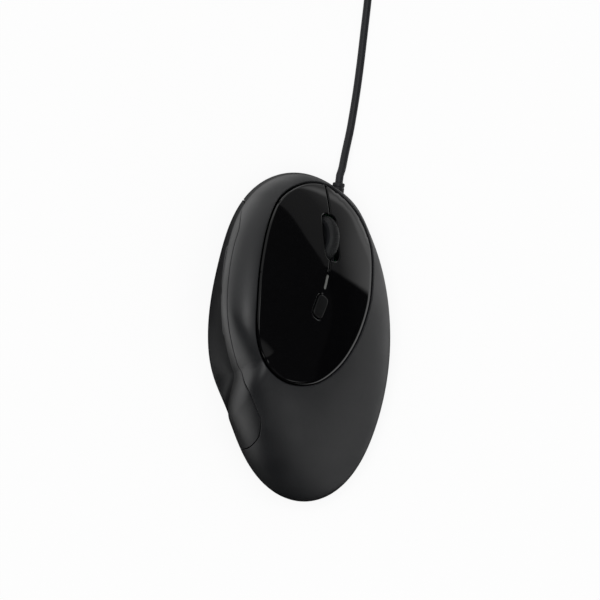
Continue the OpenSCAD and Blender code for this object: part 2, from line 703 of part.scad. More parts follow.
module wheel_switch() {
    color("#3a3a3c") click_frame() tact();
}
module wheel_stem() {
    color("#a8a8a4") click_frame() stem();
}
module micro_switch(side) {
    mech() translate([side * switch_p, switch_q, -board_drop]) difference() {
        translate([-switch_size.x / 2, -switch_size.y / 2, 0]) cube(switch_size);
        translate([0, 0, switch_size.z - 2]) cylinder(d = plunger_d + 2 * run_fit, h = 4);
        for (e = [-1, 1]) translate([0, e * switch_size.y / 2, switch_size.z])
            rotate([45, 0, 0]) cube([2 * switch_size.x, 1, 1], center = true);
    }
}
module plunger(side) {
    color("#b8b8ba") mech() translate([side * switch_p, switch_q, plunger_top - 2])
        cylinder(d = plunger_d, h = 2);
}
module left_switch() {
    color("#262628") micro_switch(-1);
}
module left_plunger() {
    plunger(-1);
}
module right_switch() {
    color("#262628") micro_switch(1);
}
module right_plunger() {
    plunger(1);
}

// Slanted board and the frame that carries it

board_half = 19;
board_back = -37;
board_front = 14;
deck_t = 2;
deck_top = -board_drop - board_t;
well_half = fork_out + 0.5;
lug_in = fork_out + lug_gap;
lug_out = lug_in + lug_t;
small_screw_d = 1.9;
small_head_d = 3.8;
small_head_t = 1.3;
board_holes = [[-15.5, -20], [15.5, -20], [2, -33]];
module board_outline(t, low) {
    difference() {
        box([-board_half, board_half], [board_back, board_front], [low, low + t]);
        box([-well_half, well_half], [fork_back - 0.6, board_front + 1], [low - 1, low + t + 1]);
    }
}
module button_board() {
    color("#1d5c3c") mech() difference() {
        board_outline(board_t, -board_drop - board_t);
        box([-lug_out - 0.3, lug_out + 0.3], [pivot_q - 3, pivot_q + 3], [deck_top - 1, -board_drop + 1]);
        for (h = board_holes) translate([h[0], h[1], deck_top - 1])
            cylinder(d = small_screw_d + 4 * ease_gap, h = board_t + 2);
    }
}
module inner_frame() {
    lug_r = 2.4;
    color("#2a2a2c") difference() {
        union() {
            mech() {
                board_outline(deck_t, deck_top - deck_t);
                for (s = [-1, 1]) {
                    p0 = s < 0 ? -lug_out : lug_in;
                    box([p0, p0 + lug_t], [pivot_q - lug_r, pivot_q + lug_r], [deck_top - 0.5, wheel_n]);
                    translate([p0, pivot_q, wheel_n]) rotate([0, 90, 0]) cylinder(r = lug_r, h = lug_t);
                }
            }
            for (p = posts) difference() {
                translate([p.x, p.y, base_top]) cylinder(d = post_d, h = crown_h);
                mech() box([-body_w, body_w], [-body_len, body_len], [deck_top - deck_t / 2, 2 * crown_h]);
            }
        }
        mech() {
            translate([0, pivot_q, wheel_n]) rotate([0, 90, 0])
                cylinder(d = pivot_d + 2 * run_fit, h = 4 * lug_out, center = true);
            for (h = board_holes) translate([h[0], h[1], deck_top - deck_t - 1])
                cylinder(d = small_screw_d + 2 * run_fit, h = deck_t + 2);
        }
        for (p = posts) translate([p.x, p.y, base_top - 1]) cylinder(d = screw_d + 2 * run_fit, h = 9);
    }
}
module small_screw(len) {
    cylinder(d = small_head_d, h = small_head_t);
    translate([0, 0, -len]) cylinder(d = small_screw_d, h = len + 0.2);
}
module board_screws() {
    color("#8d8f92") {
        mech() for (h = board_holes) translate([h[0], h[1], -board_drop]) small_screw(board_t + deck_t - 0.3);
        for (h = main_holes) translate([h.x, h.y, main_z + board_t]) small_screw(board_t + 2.4);
    }
}
module base_screws() {
    color("#8d8f92") for (p = posts) translate([p.x, p.y, base_z]) {
        translate([0, 0, ease_gap]) cylinder(d = screw_head_d, h = screw_head_t - ease_gap);
        cylinder_from = screw_head_t - 0.2;
        translate([0, 0, cylinder_from]) cylinder(d = screw_d, h = 8);
    }
}

// Main board, sensor and wiring

sensor_size = [10, 12, 3];
module main_board() {
    color("#1d5c3c") difference() {
        translate([main_mid.x - main_size.x / 2, main_mid.y - main_size.y / 2, main_z])
            cube([main_size.x, main_size.y, board_t]);
        for (h = main_holes) translate([h.x, h.y, main_z - 1])
            cylinder(d = small_screw_d + 4 * ease_gap, h = board_t + 2);
        translate([sensor_mid.x, sensor_mid.y, main_z]) cube([6, 8, 4 * board_t], center = true);
    }
}
module on_main(v, size) {
    translate([v.x - size.x / 2, v.y - size.y / 2, main_z + board_t]) cube(size);
}
module optical_sensor() {
    color("#151517") on_main(sensor_mid, sensor_size);
}
lens_plate = [16, 20, 1.4];
lens_d = 5.2;
lens_top = main_z + 0.6;
module sensor_lens() {
    slack = 3 * ease_gap;
    color("#d8e4ea") translate([sensor_mid.x, sensor_mid.y, 0]) {
        translate([-lens_plate.x / 2, -lens_plate.y / 2, base_top]) cube(lens_plate);
        translate([-window.x / 2 + slack, -window.y / 2 + slack, base_z + slack])
            cube([window.x - 2 * slack, window.y - 2 * slack, base_top - base_z]);
        translate([0, 0, base_top]) cylinder(d = lens_d, h = lens_top - base_top);
    }
}
led_gap = 1.2;
sensor_led_size = [3, 4, 2.2];
module sensor_led() {
    y = (sensor_size.y + sensor_led_size.y) / 2 + led_gap;
    color("#d44a3a") on_main(sensor_mid + [0, y], sensor_led_size);
}
chip_size = [8, 8, 1.1];
module controller_chip() {
    color("#151517") on_main(main_mid + [-6, -10], chip_size);
}
connector_size = [8, 6, 5];
connector_xy = [main_mid.x + 2.4, main_mid.y + main_size.y / 2 - connector_size.y - 1.6];
module cord_connector() {
    color("#d9d4c4") translate([connector_xy.x, connector_xy.y, main_z + board_t]) cube(connector_size);
}
relief_out = 3;
relief_in = 9;
inner_r = cord_d / 2 - 0.4;
exit_dir = [sin(exit_lean), cos(exit_lean), 0];
exit_mid = [exit_x, exit_y, exit_z];
connector_top = [
    connector_xy.x + connector_size.x / 2, connector_xy.y + connector_size.y,
    main_z + board_t + connector_size.z / 2
];
// Inside the body the cord runs under the slanted frame to its connector
inner_bow = 2.1;
inner_start = exit_mid - (relief_in + cord_d) * exit_dir;
inner_end = connector_top + [0, cord_d, 0];
inner_cord_pts = [for (t = [0, 0.08, 0.23, 0.45, 0.67, 0.87, 1])
    mix(inner_start, inner_end, t) - [inner_bow * sin(180 * sqrt(t)), 0, 0]];
module inner_cord() {
    color("#232325") tube(concat(
        [exit_mid - (relief_in + ease_gap) * exit_dir], spline(inner_cord_pts, 4),
        [connector_top + [0, ease_gap, 0]]
    ), inner_r, 8);
}
harness_r = 1.2;
harness_p = -11;
harness_in = [8, 11];
harness_foot = [
    main_mid.x - main_size.x / 2 + harness_in.x, main_mid.y + main_size.y / 2 - harness_in.y,
    main_z + board_t + ease_gap
];
module board_harness() {
    hang = board_back - harness_r - 3 * ease_gap;
    path = concat([harness_foot], spline([
        harness_foot + [0, 0, 3], harness_foot + [0, 1, 12], mech_point(harness_p, hang, -board_drop - 13),
        mech_point(harness_p, hang, -board_drop - 4)
    ], 4), [mech_point(harness_p, hang, -board_drop)]);
    color("#7a2f2a") tube(path, harness_r, 8);
}

// Thumb buttons, their switches, board and bracket

side_proud = 1;
side_n = 6;
function side_grid(mid, inner) =
    [for (c = [-side_n:side_n]) [for (r = [side_n:-2:-side_n])
        let (yz = side_yz(mid, c / side_n, r / side_n, 0))
        [inner ? side_back : thumb_x(yz[0], yz[1]) - side_proud, yz[0], yz[1]]]];
module side_cap(mid) {
    color("#161618") plate(side_grid(mid, false), side_grid(mid, true));
}
module forward_button() {
    side_cap(side_mids[0]);
}
module back_button() {
    side_cap(side_mids[1]);
}
side_board_x = side_back + press_gap + stem_out + tact_t;
side_board_l = 31;
side_board_h = 14;
module side_frame(mid) {
    translate([side_board_x, mid[0], mid[1]]) rotate([0, -90, 0]) children();
}
module side_switches() {
    color("#3a3a3c") for (mid = side_mids) side_frame(mid) tact();
}
module forward_stem() {
    color("#a8a8a4") side_frame(side_mids[0]) stem();
}
module back_stem() {
    color("#a8a8a4") side_frame(side_mids[1]) stem();
}
module side_board() {
    color("#1d5c3c") translate([side_board_x, side_mid_y - side_board_l / 2, side_z - side_board_h / 2])
        cube([board_t, side_board_l, side_board_h]);
}
module side_bracket() {
    bracket_t = 2;
    bracket_l = 16;
    foot_w = 9;
    rib_h = 26;
    color("#2a2a2c") translate([side_board_x + board_t, side_mid_y - bracket_l / 2, base_top]) {
        cube([bracket_t, bracket_l, side_z + side_board_h / 2 - base_top]);
        cube([foot_w, bracket_l, bracket_t]);
        translate([bracket_t, bracket_l, bracket_t]) rotate([90, 0, 0])
            linear_extrude(bracket_t) polygon([[0, 0], [foot_w - bracket_t, 0], [0, rib_h]]);
    }
}

// Glide feet: middle, width and length of each
feet_at = [[4, 54, 26, 7.5], [2, -55, 26, 8], [-29.5, 8, 6.5, 26], [29.5, 4, 6.5, 26]];
module glide_feet() {
    color("#3c3c3f") for (f = feet_at) translate([f[0], f[1], 0]) linear_extrude(foot_t)
        round_rect(f[2], f[3], min(f[2], f[3]) / 2 - 0.01);
}

// Cord, coil, tie and plug

relief_lip = 1.6;
relief_flange = [relief_d + 2.6, 3];
module strain_relief() {
    color("#1c1c1e") exit_frame() {
        translate([0, 0, -wall / 2 - relief_lip])
            cylinder(d = relief_d, h = relief_out + wall / 2 + relief_lip);
        translate([0, 0, -relief_in]) cylinder(d = relief_d - 4 * ease_gap, h = relief_in);
        translate([0, 0, -relief_in]) cylinder(d = relief_flange[0], h = relief_flange[1]);
    }
}
exit_end = exit_mid + relief_out * exit_dir;
cord_r = cord_d / 2;
// Route over the table, chosen by hand, from the nose to the coil
cord_pts = [
    [18, 72, 7.6], [19, 77, 6], [20.2, 82.5, 4.3], [21.5, 88.5, 2.8], [22.9, 96.5, 2], [24.4, 106, 1.9],
    [26, 118, 1.9], [27.4, 130, 1.9], [28.8, 142, 1.9], [29.8, 152, 2], [30.4, 162, 2.4]
];
coil_pitch = cord_d + coil_gap;
coil_lift = 1;
layer_turns = coil_turns + 0.5;
coil_out_r = coil_mid_r + coil_pitch * layer_turns / 2;
coil_start_a = -8;
coil_start = [31.5, 172];
coil_mid = coil_start - coil_out_r * [cos(coil_start_a), sin(coil_start_a)];
coil_end_a = 78;
coil_total = coil_layers * layer_turns - 1 + (coil_end_a / 360);
climb_half = 0.25;
function coil_r(t) =
    let (k = round(t / layer_turns), d = abs(t - k * layer_turns),
         s = d < climb_half && k > 0 ? d * d / (2 * climb_half) + climb_half / 2 : d)
    k % 2 == 0 ? coil_out_r - coil_pitch * s : coil_out_r - coil_pitch * (layer_turns - s);
function coil_z(t) =
    let (k = max(1, round(t / layer_turns)))
    coil_lift + cord_r + coil_pitch * (k - 1 + ease(-climb_half, climb_half, t - k * layer_turns));
function coil_point(t) =
    let (a = coil_start_a + 360 * t, r = coil_r(t))
    [coil_mid.x + r * cos(a), coil_mid.y + r * sin(a), coil_z(t)];
coil_rings = 24;
coil_steps = ceil(coil_total * coil_rings);
coil_path = [for (i = [0:coil_steps]) coil_point(coil_total * i / coil_steps)];
function coil_near(i) =
    min([for (j = [i + 10:1:coil_steps]) norm(coil_path[i] - coil_path[j])]);
function path_len(p) =
    let (d = [for (i = [1:len(p) - 1]) norm(p[i] - p[i - 1])])
    d * [for (step = d) 1];
module cord() {
    coil_dir = unit(coil_path[1] - coil_path[0]);
    color("#232325") tube(concat(
        [exit_end + ease_gap * exit_dir],
        spline(concat([exit_end + cord_d * exit_dir], cord_pts, [coil_path[0] - cord_d * coil_dir]), 3),
        [coil_path[0] - ease_gap * coil_dir]
    ), cord_r, 8);
}
module cord_coil() {
    gap = min([for (i = [0:coil_steps - 12]) coil_near(i)]) - cord_d;
    echo(least_gap_of_the_coil = gap, coil_length = path_len(coil_path));
    color("#232325") tube(coil_path, cord_r, 6);
}
// The plug lies flat beside the coil
plug_mid = [-33, 170.5];
plug_turn = -90;
plug_dir = [cos(plug_turn), sin(plug_turn), 0];
plug_size = [15.4, 20, 7.8];
plug_z = plug_size.z / 2;
plug_neck = 4;
plug_shell_size = [12, 4.5];
plug_shell_len = 14;
plug_end = [plug_mid.x, plug_mid.y, plug_z] - (plug_size.y / 2 + plug_neck) * plug_dir;
tail_start = coil_path[coil_steps];
tail_dir = unit(tail_start - coil_path[coil_steps - 1]);
// Route from the top of the coil down to the plug, chosen by hand
tail_pts = [
    [5, 200.6, 14.2], [-4, 203, 12.8], [-13, 204, 9.6], [-21.5, 202.3, 6.6], [-28.3, 197.6, 4.6],
    [-32.3, 191.5, 4]
];
module cord_tail() {
    color("#232325") tube(concat(
        [tail_start + ease_gap * tail_dir],
        spline(concat([tail_start + cord_d * tail_dir], tail_pts, [plug_end - cord_d * plug_dir]), 3),
        [plug_end - ease_gap * plug_dir]
    ), cord_r, 8);
}
module cord_tie() {
    tie_a = 215;
    tie_t = 0.6;
    tie_w = 5;
    slack = 0.35;
    r0 = coil_out_r - coil_pitch * (layer_turns) - cord_r - slack;
    r1 = coil_out_r + cord_r + slack;
    z0 = coil_lift - slack;
    z1 = coil_lift + cord_d + (coil_layers - 1) * coil_pitch + slack;
    color("#1a1a1c") translate([coil_mid.x, coil_mid.y, 0]) rotate([0, 0, tie_a])
        translate([(r0 + r1) / 2, tie_w / 2, (z0 + z1) / 2]) rotate([90, 0, 0])
            linear_extrude(tie_w) difference() {
                round_rect(r1 - r0 + 2 * tie_t, z1 - z0 + 2 * tie_t, 1 + tie_t);
                round_rect(r1 - r0, z1 - z0, 1);
            }
}
module plug_frame() {
    translate([plug_mid.x, plug_mid.y, 0]) rotate([90, 0, plug_turn + 90]) children();
}
plug_pocket = 5;
module plug_body() {
    color("#1c1c1e") plug_frame() difference() {
        union() {
            translate([0, plug_z, -plug_size.y / 2]) linear_extrude(plug_size.y)
                round_rect(plug_size.x, plug_size.z, 2.4);
            translate([0, plug_z, -plug_size.y / 2 - plug_neck])
                cylinder(d = cord_d + 2.6, h = plug_neck + 1);
        }
        translate([0, plug_z, plug_size.y / 2 - plug_pocket])
            linear_extrude(plug_pocket + 1) square(plug_shell_size + [2, 2] * ease_gap, center = true);
    }
}
module plug_shell() {
    skin_t = 0.35;
    color("#b9bcc0") plug_frame() translate([0, plug_z, plug_size.y / 2 - plug_pocket + ease_gap])
        linear_extrude(plug_shell_len + plug_pocket - ease_gap) difference() {
            round_rect(plug_shell_size.x, plug_shell_size.y, 0.5);
            square(plug_shell_size - 2 * [skin_t, skin_t], center = true);
        }
}
tongue = [10.4, 1.7];
module plug_tongue() {
    color("#f0f0ee") plug_frame()
        translate([-tongue.x / 2, plug_z + ease_gap, plug_size.y / 2 - plug_pocket + ease_gap])
            cube([tongue.x, tongue.y, plug_shell_len + plug_pocket - 1]);
}

main_shell();
thumb_panel();
base_plate();
button_panel();
left_button();
right_button();
dpi_button();
dpi_switch();
dpi_stem();
light_pipe();
indicator_led();
wheel_hub();
wheel_tyre();
wheel_carrier();
scroll_encoder();
wheel_switch();
wheel_stem();
left_switch();
left_plunger();
right_switch();
right_plunger();
button_board();
inner_frame();
main_board();
optical_sensor();
sensor_lens();
sensor_led();
controller_chip();
board_harness();
cord_connector();
inner_cord();
forward_button();
forward_stem();
back_button();
back_stem();
side_switches();
side_board();
side_bracket();
glide_feet();
base_screws();
board_screws();
strain_relief();
cord();
cord_coil();
cord_tail();
cord_tie();
plug_body();
plug_shell();
plug_tongue();
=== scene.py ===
import math

import bmesh
import bpy
import numpy as np
from mathutils import Matrix, Vector, geometry


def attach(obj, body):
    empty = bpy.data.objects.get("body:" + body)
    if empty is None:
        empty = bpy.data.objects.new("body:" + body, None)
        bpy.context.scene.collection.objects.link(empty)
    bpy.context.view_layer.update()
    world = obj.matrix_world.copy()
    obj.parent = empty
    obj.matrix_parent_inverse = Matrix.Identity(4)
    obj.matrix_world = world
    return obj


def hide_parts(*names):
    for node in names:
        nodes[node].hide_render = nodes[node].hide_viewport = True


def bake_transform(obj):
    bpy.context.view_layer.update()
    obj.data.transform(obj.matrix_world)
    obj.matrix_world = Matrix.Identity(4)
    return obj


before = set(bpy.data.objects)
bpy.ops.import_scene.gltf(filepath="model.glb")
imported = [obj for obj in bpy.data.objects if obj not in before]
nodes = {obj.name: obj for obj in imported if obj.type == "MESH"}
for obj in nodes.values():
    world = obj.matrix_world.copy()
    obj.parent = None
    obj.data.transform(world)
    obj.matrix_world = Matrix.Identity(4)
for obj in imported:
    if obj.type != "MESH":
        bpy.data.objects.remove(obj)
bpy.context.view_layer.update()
scene = bpy.context.scene
mm = 0.001
join = np.concatenate
norm = np.linalg.norm
print("frame loaded")

def place(obj):
    scene.collection.objects.link(obj)
    return obj

# Camera straight above, on a long lens
cameraSet = dict(lens=195.8, sensor=36, height=1.4, overY=0.0157)
cameraData = bpy.data.cameras.new("camera")
cameraData.lens = cameraSet["lens"]
cameraData.sensor_width = cameraSet["sensor"]
cameraData.clip_end = 30
camera = place(bpy.data.objects.new("camera", cameraData))
camera.location = (0, cameraSet["overY"], cameraSet["height"])
scene.camera = camera
print("camera placed")

# Materials

def linear(hexText):
    parts = [int(hexText[i:i + 2], 16) / 255 for i in (1, 3, 5)]
    return [c / 12.92 if c <= 0.04045 else ((c + 0.055) / 1.055) ** 2.4 for c in parts] + [1]

# A kind without the word Node is a shader node; a link starts at an output, or at a node's first output
def addNode(tree, kind, settings=None, values=None, links=None):
    node = tree.nodes.new(kind if "Node" in kind else "ShaderNode" + kind)
    for name, value in (settings or {}).items():
        setattr(node, name, value)
    for name, value in (values or {}).items():
        node.inputs[name].default_value = value
    for name, source in (links or {}).items():
        tree.links.new(source.outputs[0] if hasattr(source, "outputs") else source, node.inputs[name])
    return node

def newMaterial(name):
    material = bpy.data.materials.new(name)
    material.use_nodes = True
    tree = material.node_tree
    tree.nodes.clear()
    return material, tree, addNode(tree, "TexCoord").outputs["Object"]

# A moulded surface: grain of a size in mm, broad cloudy change of tone and of roughness. Real grain is a few
# hundredths of a millimetre, so it is drawn as coarse as it needs to be to show.
def moulded(name, dark, light, rough, grain, bump, cloud=14, spread=0.06, values=None):
    material, tree, spot = newMaterial(name)
    clouds, fine = (addNode(tree, "TexNoise", None, {"Scale": 1000 / size, "Detail": detail},
                            {"Vector": spot}) for size, detail in ((cloud, 3), (grain, 2)))
    both = addNode(tree, "Math", {"operation": "MULTIPLY"}, None, {0: clouds, 1: fine})
    lifted = addNode(tree, "MapRange", None, {1: 0.1, 2: 0.42}, {0: both})
    tone = addNode(tree, "Mix", {"data_type": "RGBA"}, {6: linear(dark), 7: linear(light)}, {0: lifted})
    gloss = addNode(tree, "MapRange", None, {1: 0.3, 2: 0.7, 3: rough - spread, 4: rough + spread},
                    {0: clouds})
    relief = addNode(tree, "Bump", None, {"Strength": bump, "Distance": grain * mm * 0.3}, {"Height": fine})
    shader = addNode(tree, "BsdfPrincipled", None, values,
                     {"Base Color": tone.outputs[2], "Roughness": gloss, "Normal": relief})
    addNode(tree, "OutputMaterial", None, None, {"Surface": shader})
    return material

# Spark-eroded ABS: grey sheen without a clear reflection
shellMatt = moulded("matt_moulded_abs", "#17181a", "#1d1e20", 0.44, 0.35, 0.25,
                    values={"IOR": 1.54, "Specular IOR Level": 0.85})
# The thumb side is smoother, and its colour is a step darker as painted shade, so it drops back under the
# ridge
thumbShadedSatin = moulded("satin_moulded_abs_painted_shade", "#121315", "#17181a", 0.42, 0.3, 0.2,
                     values={"IOR": 1.54, "Specular IOR Level": 0.7})
# Polished panel: near black, a clear mirror with a slight swim of the moulding
panelGloss = moulded("polished_black_panel", "#050506", "#070708", 0.05, 3, 0.004, 30, 0.01)
# Thumb keys: fine satin, a little brighter on their rims
keySatin = moulded("satin_key_cap", "#17181a", "#1e1f21", 0.35, 0.3, 0.15)
# Pace key: eroded grain that stays dull inside the polished panel
paceMatt = moulded("grained_key_cap", "#060607", "#0b0c0d", 0.36, 0.25, 0.2)
# Wheel tyre: soft rubber with dull dusty highlights
wheelRubber = moulded("soft_rubber", "#161718", "#1f2021", 0.6, 0.5, 0.35, 6)
# Wheel hub: satin plastic with a soft shine round its rim
hubSatin = moulded("satin_hub_plastic", "#1b1c1e", "#232426", 0.4, 0.4, 0.15)
# Lit bar: milky plastic that spreads the light behind it
barMilk = moulded("milky_light_bar", "#626361", "#6e6f6c", 0.3, 0.6, 0.05, 4, 0.05,
                  {"Transmission Weight": 0.1})
# Inner frame and carriers: plain moulded plastic with flow marks
framePlastic = moulded("frame_plastic", "#26272a", "#303134", 0.48, 0.8, 0.1, 8)
# Switch cases: glass-filled nylon, an even dark grey
switchBlack = moulded("switch_case", "#1a1b1d", "#25262a", 0.4, 0.4, 0.1, 5)
# Switch stems: pale acetal with a waxy shine
stemGrey = moulded("switch_stem", "#9d9d98", "#b4b4b0", 0.4, 0.4, 0.1, 4)
# Chips: sanded epoxy, flat and dull
chipBlack = moulded("chip_epoxy", "#141416", "#1d1d20", 0.55, 0.2, 0.25, 3)
# Connectors: natural nylon, ivory and faintly mottled
connectorWhite = moulded("connector_nylon", "#cfcaba", "#dcd8ca", 0.42, 0.4, 0.1, 4)
# Lamp behind the bar: yellowish cast epoxy, smooth
ledAmber = moulded("led_body", "#d8d4b0", "#e6e3c4", 0.2, 0.5, 0.05, 3)
# Sensor lamp: tinted cast epoxy that lets light in
ledRed = moulded("red_led_body", "#a8382c", "#c94a3b", 0.18, 0.5, 0.05, 3, 0.05, {"Transmission Weight": 0.3})
# Wire sleeve: drawn vinyl, a soft shine
sleeveRed = moulded("wire_sleeve", "#6f2a26", "#86342e", 0.45, 0.6, 0.1, 5)
# Base plate: coarse eroded ABS, duller than the shell
baseBlack = moulded("base_moulded_abs", "#1f2022", "#28292b", 0.52, 0.4, 0.25)
# Feet: slick film, rubbed smooth
footSlick = moulded("slick_foot_film", "#38393c", "#434447", 0.3, 0.7, 0.1, 7)
# Cord jacket: soft vinyl with long dull highlights
cordVinyl = moulded("cord_vinyl", "#1d1e20", "#26272a", 0.5, 0.6, 0.12, 9)
# Tie: rough band that takes no shine
tieBand = moulded("tie_band", "#171719", "#222225", 0.7, 0.35, 0.5, 4)
# Lens: clear acrylic
lensClear = moulded("clear_lens", "#dfe9ee", "#edf4f7", 0.06, 2, 0.01, 9, 0.02,
                    {"Transmission Weight": 0.9, "IOR": 1.49})

# Boards: green lacquer over faint copper tracks, about 1.2 mm by 0.6 mm
def boardMaterial():
    material, tree, spot = newMaterial("board_lacquer")
    tracks = addNode(tree, "TexBrick", {"offset": 0.37},
                     {"Scale": 420, "Mortar Size": 0.03, "Color1": linear("#1b5638"),
                      "Color2": linear("#1f6341"), "Mortar": linear("#2d7a52")}, {"Vector": spot})
    relief = addNode(tree, "Bump", None, {"Strength": 0.15, "Distance": 0.00005},
                     {"Height": tracks.outputs[1]})
    shader = addNode(tree, "BsdfPrincipled", None, {"Roughness": 0.32},
                     {"Base Color": tracks, "Normal": relief})
    addNode(tree, "OutputMaterial", None, None, {"Surface": shader})
    return material

# Bright metal: fine drawn lines along one direction, about 0.1 mm by 2.5 mm, coarser than real ones to show
def metalMaterial(name, dark, light, rough):
    material, tree, spot = newMaterial(name)
    stretch = addNode(tree, "Mapping", None, {"Scale": (9000, 400, 9000)}, {"Vector": spot})
    lines = addNode(tree, "TexNoise", None, {"Scale": 1, "Detail": 2}, {"Vector": stretch})
    tone = addNode(tree, "Mix", {"data_type": "RGBA"}, {6: linear(dark), 7: linear(light)}, {0: lines})
    gloss = addNode(tree, "MapRange", None, {3: rough - 0.05, 4: rough + 0.08}, {0: lines})
    shader = addNode(tree, "BsdfPrincipled", None, {"Metallic": 1},
                     {"Base Color": tone.outputs[2], "Roughness": gloss})
    addNode(tree, "OutputMaterial", None, None, {"Surface": shader})
    return material

boardGreen = boardMaterial()
# Plug shell: drawn nickelled sheet, bright streaks
plugNickel = metalMaterial("drawn_nickel", "#a9acb0", "#c3c6c9", 0.24)
# Screws: zinc plate, greyer and duller
screwSteel = metalMaterial("zinc_screw", "#83868a", "#9da0a3", 0.34)
print("materials made")

# The moulded skin, in mm and degrees, as the solids have it

skinSet = dict(halfL=69, halfW=38.4, crownH=78.4, slant=43, pitch=12, waistZ=12, ridgeH=50, ridgeA=160,
               ridgeSpread=52, draw=9, hollow=1.6, skirtZ=4.5, rimZ=1.2, rimIn=3, wall=2,
               round=(2.7, 0.65, 0.25))
# The crown slopes from foldX on, round a soft fold, and falls off in front of and behind crestY
crownSet = dict(foldX=-20, foldR=14, crestY=4, crestR=105)
# The crown is drawn in over the thumb: a long bell from the nose, held, then let out to the hollow
thumbSet = dict(at=199, spread=55, skew=14, hold=8, end=31)
# The scoop behind the thumb turns the skin round, more towards the ridge
scoopSet = dict(turn=6.3, startM=0.43, at=248, spread=11)
# Fuller at the nose, palm, cord exit and thumb side, hollow behind the thumb: amount, angle, spread
swells = ((2.16, 112, 19), (1.1, 286, 19.5), (0.77, 66.7, 8.7), (1.05, 185, 52), (-3.18, 228.3, 22.7))

def sind(v):
    return np.sin(np.radians(v))

def cosd(v):
    return np.cos(np.radians(v))

def mix(a, b, t):
    return a + (b - a) * t

def wrap(d):
    return d - 360 * np.floor((d + 180) / 360)

def bell(a, mid, spread):
    return np.exp(-(wrap(a - mid) / spread) ** 2)

def ease(lo, hi, v):
    t = np.clip((v - lo) / (hi - lo), 0, 1)
    return t * t * (3 - 2 * t)

def unit(v):
    return v / norm(v, axis=-1, keepdims=True)

def aimed(turn, rise):
    return Vector((cosd(rise) * cosd(turn), cosd(rise) * sind(turn), sind(rise)))

def angleOf(x, y):
    return np.degrees(np.arctan2(y, x))

def planR(a):
    l, w = skinSet["halfL"], skinSet["halfW"]
    return l * w / np.hypot(l * cosd(a), w * sind(a))

def swell(a):
    return sum(amount * bell(a, at, spread) for amount, at, spread in swells)

def thumbBell(a):
    d = wrap(a - thumbSet["at"])
    fore = np.minimum(0, d)
    rise = np.exp(-(fore / (thumbSet["spread"] - thumbSet["skew"] * sind(fore))) ** 2)
    return rise * (1 - ease(thumbSet["hold"], thumbSet["end"], d))

def crownR(a):
    return planR(a) * (1 + (swell(a) - skinSet["draw"] * thumbBell(a)) / skinSet["halfW"])

def skirtR(a):
    return planR(a) * (1 + swell(a) / skinSet["halfW"])

def ridgeZ(a):
    return mix(skinSet["waistZ"], skinSet["ridgeH"], bell(a, skinSet["ridgeA"], skinSet["ridgeSpread"]))

def roundness(a):
    s = sind(a)
    base, front, ends = skinSet["round"]
    return base + front * s + ends * s * s

def crownPlane(x, y):
    over = x - crownSet["foldX"]
    fall = math.tan(math.radians(skinSet["slant"])) * (over + np.hypot(over, crownSet["foldR"])) / 2
    return skinSet["crownH"] - fall - (y - crownSet["crestY"]) ** 2 / (2 * crownSet["crestR"])

def domePoint(a, share):
    r = share * crownR(a)
    n = roundness(a)
    x = r * cosd(a)
    y = r * sind(a)
    low = ridgeZ(a)
    z = low + (crownPlane(x, y) - low) * np.maximum(0, 1 - share ** n) ** (1 / n)
    return np.stack([x, y, z], -1)

# Angle and share of the crown's radius for points of the plan
def domeSpot(xy):
    a = angleOf(xy[..., 0], xy[..., 1])
    return a, np.minimum(1, np.hypot(xy[..., 0], xy[..., 1]) / crownR(a))

def domeAt(xy):
    return domePoint(*domeSpot(xy))

def wallR(a, v):
    return mix(crownR(a), skirtR(a), v ** 3) - skinSet["hollow"] * thumbBell(a) * sind(180 * v)

# Share of the wall's height at a height, from the ridge down
def wallV(a, z):
    return (ridgeZ(a) - z) / (ridgeZ(a) - skinSet["skirtZ"])

def skinRaw(a, m):
    dome = domePoint(a, sind(90 * np.clip(m, 0, 1)) ** (2 / roundness(a)))
    v = np.clip(m - 1, 0, 1)
    u = np.clip(m - 2, 0, 1)
    r = np.where(m <= 2, wallR(a, v), skirtR(a) - skinSet["rimIn"] * (1 - cosd(90 * u)))
    z = np.where(m <= 2, mix(ridgeZ(a), skinSet["skirtZ"], v),
                 mix(skinSet["skirtZ"], skinSet["rimZ"], sind(90 * u)))
    side = np.stack([r * cosd(a), r * sind(a), z], -1)
    return np.where((m <= 1)[..., None], dome, side)

def skin(a, m):
    a, m = np.broadcast_arrays(np.asarray(a, float), np.asarray(m, float))
    turn = scoopSet["turn"] * ease(scoopSet["startM"], 1, m) * bell(a, scoopSet["at"], scoopSet["spread"])
    return skinRaw(a - turn, m)

# The skin is meshed on a flat map: angle round the body, and distance from the top for the meridian
def skinMap(a, m):
    rho = np.where(m <= 1, 60 * m, np.where(m <= 2, 30 + 30 * m, 78 + 6 * m))
    return np.stack([rho * cosd(a), rho * sind(a)], -1)

def skinOfMap(uv):
    rho = np.hypot(uv[..., 0], uv[..., 1])
    m = np.where(rho <= 60, rho / 60, np.where(rho <= 90, rho / 30 - 1, (rho - 78) / 6))
    return skin(angleOf(uv[..., 0], uv[..., 1]), m)

# Slanted working frame at the wheel: across, along and out of the panel
outward = np.array([cosd(skinSet["pitch"]) * sind(skinSet["slant"]), sind(skinSet["pitch"]),
                    cosd(skinSet["pitch"]) * cosd(skinSet["slant"])])
along = unit(np.array([0, outward[2], -outward[1]]))
across = np.cross(along, outward)
wheelPlan = np.array([13.2, 42.0])
wheelSeat = domeAt(wheelPlan)

def mechPoint(p, q, n):
    return wheelSeat + sum(np.multiply.outer(v, way) for v, way in ((p, across), (q, along), (n, outward)))

# Plan position of the skin over a point of the slanted frame
def skinOver(p, q):
    n = np.zeros_like(p)
    for _ in range(8):
        v = mechPoint(p, q, n)
        n = n + (domeAt(v[..., :2])[..., 2] - v[..., 2]) * outward[2]
    return mechPoint(p, q, n)

